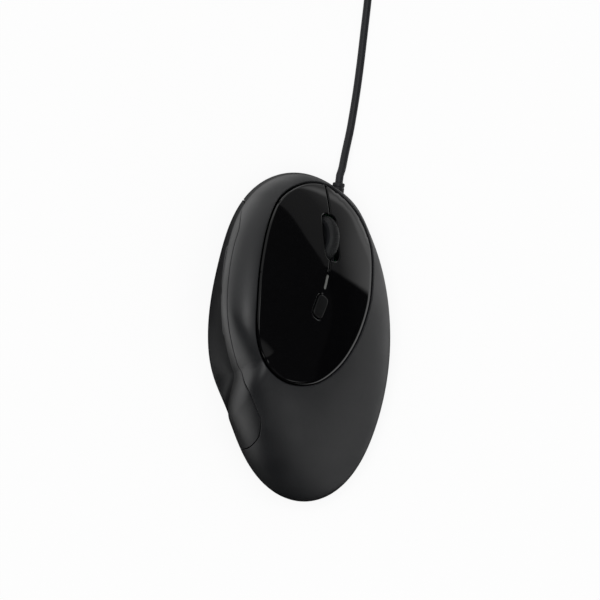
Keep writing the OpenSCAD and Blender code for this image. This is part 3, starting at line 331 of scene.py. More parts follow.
# The panel's outline in plan, as shares of the half width and half length
panelShape = np.array([
    (0.805, 0.318), (0.797, 0.549), (0.664, 0.744), (0.385, 0.913), (0.089, 0.951), (-0.195, 0.867),
    (-0.339, 0.694), (-0.424, 0.455), (-0.458, 0.217), (-0.461, -0.007), (-0.359, -0.166),
    (-0.13, -0.272), (0.169, -0.282), (0.43, -0.191), (0.625, -0.04), (0.755, 0.145),
]) * (skinSet["halfW"], skinSet["halfL"])

# A smooth curve from b to c, a share f of the way
def between(a, b, c, d, f):
    return (2 * b + (c - a) * f + (2 * a - 5 * b + 4 * c - d) * f ** 2 + (3 * b - a - 3 * c + d) * f ** 3) / 2

def panelAt(t):
    k = np.floor(t).astype(int)
    return between(*(panelShape[(k + i) % len(panelShape)] for i in (-1, 0, 1, 2)), (t - k)[:, None])

def panelEdge(t, inset):
    d = unit(panelAt(t + 0.02) - panelAt(t - 0.02))
    return panelAt(t) + inset * np.stack([-d[:, 1], d[:, 0]], -1)

# Meshing of a curved sheet from its outline on a map

def spaced(point, line, step):
    p = point(line)
    run = join([[0], np.cumsum(norm(np.diff(p, axis=0), axis=1))])
    count = max(2, int(round(run[-1] / step)) + 1)
    goal = np.linspace(0, run[-1], count)
    return np.stack([np.interp(goal, run, line[:, i]) for i in (0, 1)], -1)

def inLoop(loop, p):
    (ax, ay), (bx, by) = loop.T, np.roll(loop, -1, axis=0).T
    rise = np.where(by == ay, 1, by - ay)
    found = []
    for some in np.array_split(p, len(p) // 4000 + 1):
        x, y = some.T[..., None]
        at = (bx - ax) * (y - ay) / rise + ax
        found.append((((ay > y) != (by > y)) & (x < at)).sum(1) % 2 == 1)
    return join(found)

def within(loops, p):
    keep = inLoop(loops[0][0], p)
    for line, *_ in loops[1:]:
        keep &= ~inLoop(line, p)
    return keep

def tangents(point, uv):
    h = 0.01
    du = (point(uv + (h, 0)) - point(uv - (h, 0))) / (2 * h)
    dv = (point(uv + (0, h)) - point(uv - (0, h))) / (2 * h)
    return du, dv, unit(np.cross(du, dv))

# Distance from the line of lips, and the lip point that is nearest
def nearLip(p, lip):
    index = join([norm(some[:, None] - lip["at"], axis=2).argmin(1)
                  for some in np.array_split(p, len(p) // 1500 + 1)])
    a = lip["at"][index]
    best = norm(p - a, axis=1)
    for side in ("next", "last"):
        ab = lip["at"][lip[side][index]] - a
        t = np.clip(((p - a) * ab).sum(1) / np.maximum((ab * ab).sum(1), 1e-12), 0, 1)
        best = np.minimum(best, norm(p - a - t[:, None] * ab, axis=1))
    return best, index

# Each loop is (map points, sign, lip width, lip tilt, lip power), the last three for each point; sign 1 is
# the outline, -1 a hole. A lip is round where its tilt is 0, and otherwise falls off by the tilt and power.
def sheet(name, point, loops, inside, deep, material, guides=(), lift=0):
    uv = join([l[0] for l in loops])
    p = point(uv)
    du, dv, n = tangents(point, uv)
    inward = np.zeros_like(p)
    following, before = np.zeros((2, len(p)), int)
    radius, tilt, power = (join([l[i] for l in loops]) for i in (2, 3, 4))
    start = 0
    edges = []
    for line, sign, *_ in loops:
        own = np.arange(start, start + len(line))
        following[own] = np.roll(own, -1)
        before[own] = np.roll(own, 1)
        inward[own] = sign * unit(np.cross(n[own], p[following[own]] - p[before[own]]))
        edges += zip(own.tolist(), following[own].tolist())
        start += len(line)
    count = len(uv)
    rolled = radius > 0
    index = np.where(rolled)[0]
    back = np.cumsum(rolled) - 1
    step, stepBack = (np.where(rolled[side[index]], back[side[index]], np.arange(len(index)))
                      for side in (following, before))
    lip = dict(at=p[index], next=step, last=stepBack, out=-inward[index], r=radius[index], tilt=tilt[index],
               power=power[index])
    # the step on the map that goes inward on the skin by a length of 1
    j11, j12, j22 = ((a * b).sum(1) for a, b in ((du, du), (du, dv), (dv, dv)))
    b1, b2 = ((d * inward).sum(1) for d in (du, dv))
    slip = np.stack([j22 * b1 - j12 * b2, j11 * b2 - j12 * b1], -1) / (j11 * j22 - j12 * j12)[:, None]
    points = [uv]
    for share in (0.05, 0.16, 0.33, 0.55, 0.8, 1.0, 1.5):
        ring = uv[index] + slip[index] * (share * radius[index])[:, None]
        d, near = nearLip(point(ring), lip)
        points.append(ring[d > 0.94 * share * radius[index]])
    # grid points and guides keep clear of the lips
    room = 1.7 * np.maximum(radius, 0.3)
    grid = inside[within(loops, inside)]
    alone = dict(at=p, next=following, last=before)
    d, near = nearLip(point(grid), alone)
    points.append(grid[d > room[near]])
    flat = join(points)
    lines = []
    for guide in guides:
        d, near = nearLip(point(guide), alone)
        lines.append((guide, within(loops, guide) & (d > room[near])))
    if lines:
        taken = join([guide[keep] for guide, keep in lines])
        free = [norm(v - taken, axis=1).min() > 0.45 for v in flat[count:]]
        flat = join([flat[:count], flat[count:][np.array(free)]])
    for guide, keep in lines:
        number = np.cumsum(keep) - 1 + len(flat)
        flat = join([flat, guide[keep]])
        both = np.where(keep[:-1] & keep[1:])[0]
        edges += [(int(number[i]), int(number[i + 1])) for i in both]
    found = geometry.delaunay_2d_cdt([Vector(v) for v in flat], edges, [], 0, 1e-6)
    flat = np.array([v[:] for v in found[0]])
    tris = np.array(found[2])
    source = np.array([o[0] if o else -1 for o in found[3]])
    tris = tris[within(loops, flat[tris].mean(1))]
    turn = np.cross(flat[tris[:, 1]] - flat[tris[:, 0]], flat[tris[:, 2]] - flat[tris[:, 0]]) < 0
    tris[turn] = tris[turn][:, ::-1]
    top = point(flat)
    n = tangents(point, flat)[2]
    inner = deep(top, n)
    d, near = nearLip(top, lip)
    r, fall, bend = (lip[key][near] for key in ("r", "tilt", "power"))
    x = np.clip(1 - d / r, 0, 1)
    arc = np.sqrt(np.maximum(1 - x * x, 0))
    drop = np.where(fall > 0, fall * r * x ** bend, r * (1 - arc))
    slope = np.where(fall > 0, fall * bend * x ** (bend - 1) * (x > 0), x / np.maximum(arc, 1e-3))
    top = top + lift * n - n * drop[:, None]
    shade = unit(n + lip["out"][near] * slope[:, None])
    rank = np.full(count, -1)
    for i, s in enumerate(source):
        if 0 <= s < count:
            rank[s] = i
    total = len(flat)
    faces = [*map(tuple, tris), *map(tuple, tris[:, [0, 2, 1]] + total)]
    normals = [shade[tris].reshape(-1, 3), -n[tris[:, [0, 2, 1]]].reshape(-1, 3)]
    start = 0
    for line, sign, *_ in loops:
        for k in range(len(line)):
            s, e = start + k, start + (k + 1) % len(line)
            i, j = int(rank[s]), int(rank[e])
            quad = (i, i + total, j + total, j) if sign > 0 else (i, j, j + total, i + total)
            faces.append(quad)
            a, b = -inward[s], -inward[e]
            normals.append(np.array([a, a, b, b] if sign > 0 else [a, b, b, a]))
        start += len(line)
    used = np.zeros(2 * total, bool)
    for f in faces:
        used[list(f)] = True
    number = np.cumsum(used) - 1
    verts = join([top, inner])[used] * mm
    mesh = bpy.data.meshes.new(name)
    mesh.from_pydata(verts.tolist(), [], [tuple(int(number[i]) for i in f) for f in faces])
    mesh.shade_smooth()
    mesh.normals_split_custom_set(join(normals).tolist())
    mesh.materials.append(material)
    mesh.update()
    print(name, "made,", len(faces), "faces")
    return place(bpy.data.objects.new(name, mesh))

def finishPiece(obj, body, slot, *replaced):
    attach(obj, body)
    if replaced:
        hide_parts(*replaced)

# A loop with one lip all the way: its width, and for a fall-off its tilt and power
def lipped(line, sign, r, tilt=0, power=1):
    return (line, sign) + tuple(np.full(len(line), float(v)) for v in (r, tilt, power))

# Points over the whole skin, about as far apart as the step
def skinGrid(step):
    a = np.arange(0, 360, 1.3)
    m = np.linspace(0.03, 2.97, 480)
    gone = norm(np.diff(skin(a[:, None], m[None, :]), axis=1), axis=2)
    run = join([np.zeros((len(a), 1)), np.cumsum(gone, axis=1)], 1)
    out = []
    for i in range(len(a)):
        goal = np.arange((i % 2) * step / 2, run[i, -1], step)
        out.append(skinMap(np.full(len(goal), a[i]), np.interp(goal, run[i], m)))
    return join(out)

# Cord, from the collar over the table into its coil and on to the plug

cordSet = dict(diameter=3.3, exitX=16.2, exitZ=8.5, lean=7.5, holeR=2.75, holeLip=0.2, collarOut=3,
               turnsInLayer=3.5, layers=4, pitch=3.85, outerR=26.3875, middle=(5.3693, 175.672),
               startA=-8, endA=78, lift=1, climb=0.25)
exitDir = np.array([sind(cordSet["lean"]), cosd(cordSet["lean"]), 0])
exitA = angleOf(cordSet["exitX"], skinSet["halfL"] * 0.91)
exitMid = np.array((cordSet["exitX"], wallR(exitA, 0.5) * sind(exitA), cordSet["exitZ"]))
exitEnd = exitMid + cordSet["collarOut"] * exitDir
cordRun = np.array([
    (18, 72, 7.6), (19, 77, 6), (20.2, 82.5, 4.3), (21.5, 88.5, 2.8), (22.9, 96.5, 2), (24.4, 106, 1.9),
    (26, 118, 1.9), (27.4, 130, 1.9), (28.8, 142, 1.9), (29.8, 152, 2), (30.4, 162, 2.4),
])
tailRun = np.array([
    (5, 200.6, 14.2), (-4, 203, 12.8), (-13, 204, 9.6), (-21.5, 202.3, 6.6), (-28.3, 197.6, 4.6),
    (-32.3, 191.5, 4),
])
plugEnd = np.array((-33, 184.5, 3.9))
plugDir = np.array((0, -1, 0))

def coilPoint(t):
    layer = cordSet["turnsInLayer"]
    k = round(t / layer)
    d = abs(t - k * layer)
    s = d * d / (2 * cordSet["climb"]) + cordSet["climb"] / 2 if d < cordSet["climb"] and k > 0 else d
    r = cordSet["outerR"] - cordSet["pitch"] * (s if k % 2 == 0 else layer - s)
    k = max(1, k)
    rise = float(ease(-cordSet["climb"], cordSet["climb"], t - k * layer))
    z = cordSet["lift"] + cordSet["diameter"] / 2 + cordSet["pitch"] * (k - 1 + rise)
    a = cordSet["startA"] + 360 * t
    return np.array([cordSet["middle"][0] + r * cosd(a), cordSet["middle"][1] + r * sind(a), z])

def spline(p, steps):
    out = []
    for i in range(len(p) - 1):
        a, b, c, d = p[max(0, i - 1)], p[i], p[i + 1], p[min(len(p) - 1, i + 2)]
        for k in range(steps + (i == len(p) - 2)):
            out.append(between(a, b, c, d, k / steps))
    return np.array(out)

coilTurns = cordSet["layers"] * cordSet["turnsInLayer"] - 1 + cordSet["endA"] / 360
coil = np.array([coilPoint(t) for t in np.linspace(0, coilTurns, int(coilTurns * 40))])
coilIn = unit(coil[1] - coil[0])
coilOut = unit(coil[-1] - coil[-2])
gauge = cordSet["diameter"]
lead = spline(join([[exitEnd + gauge * exitDir], cordRun, [coil[0] - gauge * coilIn]]), 6)
tail = spline(join([[coil[-1] + gauge * coilOut], tailRun, [plugEnd - gauge * plugDir]]), 6)
route = join([[exitEnd - 1.5 * exitDir], lead, coil, tail, [plugEnd + 0.5 * plugDir]]) * mm
cordLength = float(norm(np.diff(route, axis=0), axis=1).sum())
curve = bpy.data.curves.new("mouse_cord", "CURVE")
curve.dimensions = "3D"
curve.bevel_depth = gauge / 2 * mm
curve.bevel_resolution = 3
curve.use_fill_caps = True
line = curve.splines.new("POLY")
line.points.add(len(route) - 1)
line.points.foreach_set("co", join([route, np.ones((len(route), 1))], 1).ravel())
line.use_smooth = True
curve.materials.append(cordVinyl)
cord = place(bpy.data.objects.new("mouse_cord", curve))
finishPiece(cord, "housing", "cord_black", "cord", "cord_coil", "cord_tail")
print("cord laid,", round(cordLength, 3), "m")

# Main shell

# The seam runs from a1 to a2 on the meridian m1, drops to m2, and turns down at both ends
seamSet = dict(a1=112.4, a2=248, m1=0.68, m2=0.43, drop=(204, 230), rise=(0.35, 0.09), corner=(8, 4.5),
               gap=0.3, lip=0.3, endLip=0.12, openLip=0.35, side=0.08, thumbSide=(0.2, 0.25), step=0.55)

def seamM(a):
    m = mix(seamSet["m1"], seamSet["m2"], ease(*seamSet["drop"], a))
    for rise, corner, far in zip(seamSet["rise"], seamSet["corner"], (a - seamSet["a1"], seamSet["a2"] - a)):
        m = m + rise * np.clip(1 - far / corner, 0, 1) ** 2
    return m

def seamStep(a):
    m = seamM(a)
    rise = norm(skin(a, m + 0.01) - skin(a, m - 0.01), axis=-1) / 0.02
    run = norm(skin(a + 0.5, m) - skin(a - 0.5, m), axis=-1)
    slope = seamM(a + 0.5) - seamM(a - 0.5)
    return seamSet["gap"] * np.hypot(1 / rise, slope / run)

def meridian(a, m0, m1):
    m = np.linspace(m0, m1, 200)
    return skinMap(np.full(200, float(a)), m)

def parallel(a0, a1, m):
    a = np.linspace(a0, a1, 900)
    return skinMap(a, m(a) if callable(m) else np.full(900, float(m)))

# One loop from loops that follow each other
def chained(parts):
    line, *lip = (join([p[i] for p in parts]) for i in (0, 2, 3, 4))
    return line, 1, *lip

# Outline of a moulding: round its rim, then up one end of the seam, along it and down the other end
def mouldingLoop(start, end, seam, turn=0):
    up, down = (float(seam(np.array(a))) for a in (start, end))
    lines = ((parallel(end, start + turn, rimEnd), 0), (meridian(start, rimEnd, up), seamSet["endLip"]),
             (parallel(start, end, seam), seamSet["lip"]), (meridian(end, down, rimEnd), seamSet["endLip"]))
    return chained([lipped(spaced(skinOfMap, line, seamSet["step"])[:-1], 1, lip) for line, lip in lines])

def openingLoop():
    t = np.linspace(0, 16, 520, endpoint=False)
    a, share = domeSpot(panelAt(t))
    m = np.degrees(np.arcsin(share ** (roundness(a) / 2))) / 90
    return lipped(skinMap(a, m), -1, seamSet["openLip"])

# The collar's hole, found on the wall along the collar's axis
def exitLoop():
    r = cordSet["holeR"]
    turn = np.linspace(0, 360, 40, endpoint=False)
    sideways = np.array([exitDir[1], -exitDir[0], 0])
    p = exitMid - r * cosd(turn)[:, None] * sideways + np.outer(r * sind(turn), (0, 0, 1))
    for _ in range(30):
        a = angleOf(p[:, 0], p[:, 1])
        short = wallR(a, np.clip(wallV(a, p[:, 2]), 0, 1)) - np.hypot(p[:, 0], p[:, 1])
        p = p + 0.7 * short[:, None] * exitDir
    a = angleOf(p[:, 0], p[:, 1])
    return lipped(skinMap(a, 1 + wallV(a, p[:, 2])), -1, cordSet["holeLip"])

def shellDeep(top, n):
    return top - skinSet["wall"] * n

skinPoints = skinGrid(1.35)
crease = [skinMap(np.arange(0, 360.1, 0.8), np.full(451, m)) for m in (1.0, 2.0)]
rimEnd = 3.0
shellOutline = mouldingLoop(seamSet["a1"] - seamSet["side"], seamSet["a2"] + seamSet["side"], seamM, 360)
shell = sheet("shell", skinOfMap, [shellOutline, openingLoop(), exitLoop()], skinPoints, shellDeep,
              shellMatt, guides=crease)
finishPiece(shell, "housing", "shell_black", "main_shell")

# Thumb panel with its two key openings

keySet = dict(len=19, high=6.6, lean=14, squeeze=0.34, slack=0.3, proud=1, deep=2.4, lip=1.1, holeLip=0.45,
              mids=((29.497, 34.03), (9.703, 38.97)))

def thumbX(y, z):
    x = np.full_like(y, -32.0)
    for _ in range(16):
        a = angleOf(x, y)
        v = np.clip(wallV(a, z), 0, 1)
        x = (x - np.sqrt(np.maximum(1, wallR(a, v) ** 2 - y * y))) / 2
    return x

def keyOutline(mid, grow, count):
    turn = np.linspace(0, 360, count, endpoint=False)
    c, s = cosd(turn), sind(turn)
    m = np.maximum(abs(c), abs(s))
    u, v = c / m, s / m
    a = (keySet["len"] / 2 + grow) * u * np.sqrt(1 - keySet["squeeze"] * v * v)
    b = (keySet["high"] / 2 + grow) * v * np.sqrt(1 - keySet["squeeze"] * u * u)
    y = mid[0] + a * cosd(keySet["lean"]) + b * sind(keySet["lean"])
    z = mid[1] + b * cosd(keySet["lean"]) - a * sind(keySet["lean"])
    return y, z

def keyHole(mid):
    y, z = keyOutline(mid, keySet["slack"], 120)
    y, z = y[::-1], z[::-1]
    a = angleOf(thumbX(y, z), y)
    return lipped(skinMap(a, 1 + wallV(a, z)), -1, keySet["holeLip"])

def lowerSeam(a):
    return seamM(a) + seamStep(a)

thumbOutline = mouldingLoop(seamSet["a2"] - seamSet["thumbSide"][1], seamSet["a1"] + seamSet["thumbSide"][0],
                            lowerSeam)
thumb = sheet("thumb_side", skinOfMap, [thumbOutline, *map(keyHole, keySet["mids"])], skinPoints, shellDeep,
              thumbShadedSatin, guides=crease)
finishPiece(thumb, "housing", "shell_black", "thumb_panel")

# Thumb keys, on a map of length and height seen from outside

keyMid = np.mean(keySet["mids"], axis=0)
keyBack = float(thumbX(keyMid[:1], keyMid[1:])[0]) + skinSet["wall"] + keySet["deep"]

def keySkin(uv):
    y = -uv[..., 0]
    z = uv[..., 1]
    return np.stack([thumbX(y, z) - keySet["proud"], y, z], -1)

def keyDeep(top, n):
    return np.stack([np.full(len(top), keyBack), top[:, 1], top[:, 2]], -1)

for name, mid in zip(("forward", "back"), keySet["mids"]):
    y, z = keyOutline(mid, 0, 140)
    loop = np.stack([-y[::-1], z[::-1]], -1)
    u, v = np.meshgrid(np.arange(-14, 14, 0.7), np.arange(-8, 8, 0.7))
    around = np.stack([u.ravel() - mid[0], v.ravel() + mid[1]], -1)
    key = sheet(name + "_key", keySkin, [lipped(loop, 1, keySet["lip"])], around, keyDeep, keySatin)
    finishPiece(key, name, "thumb_key", name + "_button")

# Button panel: two finger leaves cut off at one line, and the fixed palm piece behind it. Inset, bevel and
# power are given for the left and for the right edge, and change over turnX.

panelSet = dict(inset=(0.78, 0.35), thick=1.8, leafThick=1.1, bevel=(0.8, 2.4), fall=0.5, power=(1.25, 2),
                turnX=(-6, 14), bendY=27.3, splitHalf=0.24, splitBow=200, slotHalf=4, slotLong=10.6,
                slotRound=3, lip=0.4, tilt=0.62)
bendY = panelSet["bendY"]

def splitX(y):
    return wheelPlan[0] - (y - wheelPlan[1]) ** 2 / panelSet["splitBow"]

# The underside of a piece of the panel, at a depth along the panel's own direction
def sunk(depth):
    return lambda top, n: top - depth * outward

def roundRect(halfW, halfL, r, count=12):
    turn = np.linspace(0, 90, count)
    out = []
    for x, y, t0 in ((1, 1, 0), (-1, 1, 90), (-1, -1, 180), (1, -1, 270)):
        middle = (x * (halfW - r), y * (halfL - r))
        out.append(middle + r * np.stack([cosd(t0 + turn), sind(t0 + turn)], -1))
    return join(out)

def inFrame(shape, seat, lean):
    c, s = float(cosd(lean)), float(sind(lean))
    p = seat[0] + shape[:, 0] * c + shape[:, 1] * s
    q = seat[1] - shape[:, 0] * s + shape[:, 1] * c
    return skinOver(p, q)[:, :2]

def closed(loop):
    return join([loop, loop[:1]])

slotLoop = spaced(domeAt, closed(inFrame(roundRect(panelSet["slotHalf"], panelSet["slotLong"],
                                                   panelSet["slotRound"]), (0, 0), 0)), 0.4)[:-1]
edgeT = np.linspace(0, 16, 4000, endpoint=False)
edgeLine = panelEdge(edgeT, mix(*panelSet["inset"], ease(*panelSet["turnX"], panelAt(edgeT)[:, 0]))[:, None])

def edgeLoop(line):
    got = spaced(domeAt, line, 0.5)[:-1]
    share = ease(*panelSet["turnX"], got[:, 0])
    width = mix(*panelSet["bevel"], share)
    return got, 1, width, panelSet["fall"] / width, mix(*panelSet["power"], share)

def innerLoop(line, last=False):
    got = spaced(domeAt, line, 0.5)
    return lipped(got if last else got[:-1], 1, panelSet["lip"], panelSet["tilt"], panelSet["power"][0])

def plainLoop(line):
    return lipped(spaced(domeAt, line, 0.5)[:-1], 1, 0)

# The bend line, the split in front of the slot and behind it, for one side
def bendLine(start, end):
    return np.stack([np.linspace(start, end, 120), np.full(120, bendY)], -1)

def splitLine(side, start, end):
    y = np.linspace(start, end, 60)
    return np.stack([splitX(y) + side * panelSet["splitHalf"], y], -1)

# Outline of one leaf; side is -1 for the left and 1 for the right
def leafLoop(side):
    gap = side * (edgeLine[:, 0] - splitX(edgeLine[:, 1])) - panelSet["splitHalf"]
    edge = edgeLine[(edgeLine[:, 1] > bendY) & (gap > 0)]
    part = slotLoop[side * (slotLoop[:, 0] - splitX(slotLoop[:, 1])) - panelSet["splitHalf"] > 0]
    turn = angleOf(*(part - slotLoop.mean(0)).T)
    part = part[np.argsort(-np.where(turn < -90, turn + 360, turn) if side < 0 else -turn)]
    low, high = part[:, 1].min(), part[:, 1].max()
    bendX = splitX(bendY) + side * panelSet["splitHalf"]
    if side < 0:
        # down the outer edge from the nose, along the bend line, then forward beside the split and the slot
        return chained([edgeLoop(edge), plainLoop(bendLine(edge[-1, 0], bendX)),
                        innerLoop(splitLine(side, bendY, low)), innerLoop(part, True),
                        innerLoop(splitLine(side, high, edge[0, 1]))])
    # forward along the outer edge from the bend line, then back beside the split and the slot
    return chained([plainLoop(bendLine(bendX, edge[0, 0])), edgeLoop(edge),
                    innerLoop(splitLine(side, edge[-1, 1], high)), innerLoop(part, True),
                    innerLoop(splitLine(side, low, bendY))])

def hexGrid(step):
    u = np.arange(-40, 40, step)
    v = np.arange(-25, 70, step * 0.866)
    x, y = np.meshgrid(u, v)
    x = x + (np.arange(len(v)) % 2)[:, None] * step / 2
    return np.stack([x.ravel(), y.ravel()], -1)

panelPoints = hexGrid(1.0)
for name, side in (("left", -1), ("right", 1)):
    leaf = sheet(name + "_finger_leaf", domeAt, [leafLoop(side)], panelPoints,
                 sunk(panelSet["leafThick"]), panelGloss)
    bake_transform(leaf)
    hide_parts(name + "_button")

# Place in the slanted frame of a plan point of the skin
def seatOf(x, y):
    v = domeAt(np.array([x, y])) - wheelSeat
    return float(v @ across), float(v @ along)

paceSet = dict(seat=seatOf(8.75, 13.0), lean=20, half=(2.8, 4.9), round=2, slack=0.3, dish=0.9, lip=0.6,
               lift=0.25, deep=4.4, step=0.35, grid=0.6)
barSet = dict(seat=seatOf(11.05, 23.2), lean=14, half=(0.55, 3.3), round=0.54, slack=0.1, dish=0.12, lip=0.2,
              lift=0.05, deep=9.5, step=0.25, grid=0.4)

# Outline of a piece that is set into the panel, grown by a gap
def insetLoop(given, grow):
    shape = roundRect(given["half"][0] + grow, given["half"][1] + grow, given["round"] + grow)
    return spaced(domeAt, closed(inFrame(shape, given["seat"], given["lean"])), given["step"])[:-1]

def palmLoop():
    keep = np.where(edgeLine[:, 1] <= bendY)[0]
    gap = np.where(np.diff(keep) > 1)[0]
    run = join([keep[gap[0] + 1:], keep[:gap[0] + 1]]) if len(gap) else keep
    edge = edgeLine[run]
    return chained([edgeLoop(edge), plainLoop(bendLine(edge[-1, 0], edge[0, 0]))])

holes = [lipped(insetLoop(part, part["slack"]), -1, part["dish"], panelSet["fall"], panelSet["power"][0])
         for part in (paceSet, barSet)]
palm = sheet("palm_panel", domeAt, [palmLoop(), *holes], panelPoints, sunk(panelSet["thick"]), panelGloss)
finishPiece(palm, "housing", "panel_gloss", "button_panel")

# Pace key and lit bar

for name, part, material, *given in (
        ("pace_key", paceSet, paceMatt, "dpi", "panel_gloss", "dpi_button"),
        ("light_bar", barSet, barMilk, "housing", "lamp_white", "light_pipe")):
    outline = lipped(insetLoop(part, 0), 1, part["lip"])
    piece = sheet(name, domeAt, [outline], hexGrid(part["grid"]), sunk(part["deep"]), material,
                  lift=part["lift"])
    finishPiece(piece, *given)

# A piece from loose faces, smooth but for edges over an angle
def meshed(bm, name, material, sharp):
    bmesh.ops.recalc_face_normals(bm, faces=bm.faces)
    mesh = bpy.data.meshes.new(name)
    bm.to_mesh(mesh)
    bm.free()
    mesh.shade_smooth()
    mesh.set_sharp_from_angle(angle=math.radians(sharp))
    mesh.materials.append(material)
    return place(bpy.data.objects.new(name, mesh))

# A profile of (radius, height) turned about an axis
def turned(name, profile, steps, origin, axis, material, sharp=35):
    z = unit(np.array(axis, float))
    x = unit(np.cross(z, (0.3, 0.5, 0.8)))
    y = np.cross(z, x)
    bm = bmesh.new()
    rows = []
    for k in range(steps):
        c, s = math.cos(2 * math.pi * k / steps), math.sin(2 * math.pi * k / steps)
        row = [np.array(origin) + r * (c * x + s * y) + h * z for r, h in profile]
        rows.append([bm.verts.new(tuple(v * mm)) for v in row])
    for a, b in zip(rows, rows[1:] + rows[:1]):
        for i in range(len(profile) - 1):
            bm.faces.new((a[i], b[i], b[i + 1], a[i + 1]))
    bmesh.ops.remove_doubles(bm, verts=bm.verts, dist=1e-7)
    return meshed(bm, name, material, sharp)

# A profile with its inner corners rounded off
def rounded(points, r, count=4):
    points = np.array(points, float)
    out = [points[0]]
    for last, p, following in zip(points, points[1:], points[2:]):
        reach = min(r, norm(last - p) * 0.45, norm(following - p) * 0.45)
        start = p + unit(last - p) * reach
        end = p + unit(following - p) * reach
        for t in np.arange(count + 1) / count:
            out.append((1 - t) ** 2 * start + 2 * t * (1 - t) * p + t * t * end)
    return out + [points[-1]]

# Scroll wheel: a drum with ribs set round it by nodes
wheelSet = dict(r=11, half=2.9, hub=9, ribs=72, ribHigh=0.16, axisN=-7.6)
wheelMid = mechPoint(0, 0, wheelSet["axisN"])

def ribGroup():
    group = bpy.data.node_groups.new("ribs_round_a_drum", "GeometryNodeTree")
    for name, kind in (("Geometry", "Geometry"), ("Rib", "Object"), ("Count", "Int"), ("Radius", "Float"),
                       ("Finish", "Material")):
        group.interface.new_socket(name, in_out="INPUT", socket_type="NodeSocket" + kind)
    group.interface.new_socket("Geometry", in_out="OUTPUT", socket_type="NodeSocketGeometry")
    start = addNode(group, "NodeGroupInput")
    ring = addNode(group, "GeometryNodeMeshCircle", None, None,
                   {"Vertices": start.outputs["Count"], "Radius": start.outputs["Radius"]})
    info = addNode(group, "GeometryNodeObjectInfo", None, None, {"Object": start.outputs["Rib"]})
    number = addNode(group, "GeometryNodeInputIndex")
    share = addNode(group, "Math", {"operation": "DIVIDE"}, None, {0: number, 1: start.outputs["Count"]})
    turn = addNode(group, "Math", {"operation": "MULTIPLY"}, {1: 2 * math.pi}, {0: share})
    spin = addNode(group, "CombineXYZ", None, None, {"Z": turn})
    ribs = addNode(group, "GeometryNodeInstanceOnPoints", None, None,
                   {"Points": ring, "Instance": info.outputs["Geometry"], "Rotation": spin})
    both = addNode(group, "GeometryNodeJoinGeometry", None, None, {0: ribs})
    group.links.new(start.outputs["Geometry"], both.inputs[0])
    real = addNode(group, "GeometryNodeRealizeInstances", None, None, {"Geometry": both})
    coat = addNode(group, "GeometryNodeSetMaterial", None, None,
                   {"Geometry": real, "Material": start.outputs["Finish"]})
    addNode(group, "NodeGroupOutput", None, None, {0: coat})
    return group

# Turns the node result into a plain mesh and lays it along an axis
def settled(obj, origin, axis):
    graph = bpy.context.evaluated_depsgraph_get()
    mesh = bpy.data.meshes.new_from_object(obj.evaluated_get(graph))
    obj.modifiers.clear()
    obj.data = mesh
    z = Vector(axis).normalized()
    mesh.transform(Matrix.Translation(Vector(origin) * mm) @ z.to_track_quat("Z", "Y").to_matrix().to_4x4())
    mesh.shade_smooth()
    mesh.set_sharp_from_angle(angle=math.radians(35))

def barMesh(name, size, edge):
    bm = bmesh.new()
    bmesh.ops.create_cube(bm, size=1)
    bmesh.ops.scale(bm, vec=size, verts=bm.verts)
    bmesh.ops.bevel(bm, geom=bm.edges, offset=edge, segments=3, profile=0.5, affect="EDGES")
    mesh = bpy.data.meshes.new(name)
    bm.to_mesh(mesh)
    bm.free()
    return bpy.data.objects.new(name, mesh)

hub, half = wheelSet["hub"], wheelSet["half"]
core = wheelSet["r"] - wheelSet["ribHigh"]
# one side of the tread's profile, then the other side mirrored
sideProfile = [(hub, -half), (core - 1.9, -half), (core - 0.55, -half + 0.75), (core, -half + 2.1)]
profile = sideProfile + [(r, -h) for r, h in sideProfile[::-1]] + sideProfile[:1]
drum = turned("wheel_tread", rounded(profile, 0.9, 6), 144, (0, 0, 0), (0, 0, 1), wheelRubber, 50)
ribSize = (2 * wheelSet["ribHigh"] * mm, 0.5 * mm, (2 * half - 3.6) * mm)
rib = barMesh("wheel_rib", ribSize, 0.15 * mm)
group = ribGroup()
pattern = drum.modifiers.new("ribs", "NODES")
pattern.node_group = group
names = {i.name: i.identifier for i in group.interface.items_tree if i.in_out == "INPUT"}
for name, value in (("Rib", rib), ("Count", wheelSet["ribs"]), ("Radius", core * mm),
                    ("Finish", wheelRubber)):
    pattern[names[name]] = value
settled(drum, wheelMid, across)
bpy.data.objects.remove(rib)
finishPiece(drum, "wheel", "wheel_rubber", "wheel_tyre")
print("wheel made")

# Collar where the cord leaves, with two soft rings

collar = turned("cord_collar", rounded([
    (1.66, -9), (3.9, -9), (3.9, -6.2), (2.4, -6), (2.4, -2.6), (2.6, -2.4), (2.6, 0.7), (2.42, 0.9),
    (2.42, 1.3), (2.6, 1.5), (2.6, 2.6), (2.2, 3), (1.66, 3), (1.66, -9)], 0.25), 64,
    exitMid, exitDir, cordVinyl)
finishPiece(collar, "housing", "cord_black", "strain_relief")

# Sections joined one after another, as a ring or with closed ends
def swept(name, sections, material, sharp=40, ring=False):
    bm = bmesh.new()
    rows = [[bm.verts.new(tuple(np.array(v) * mm)) for v in s] for s in sections]
    count = len(rows[0])
    pairs = list(zip(rows, rows[1:] + rows[:1] if ring else rows[1:]))
    for a, b in pairs:
        for i in range(count):
            j = (i + 1) % count
            bm.faces.new((a[i], a[j], b[j], b[i]))
    if not ring:
        bm.faces.new(rows[0])
        bm.faces.new(rows[-1])
    return meshed(bm, name, material, sharp)

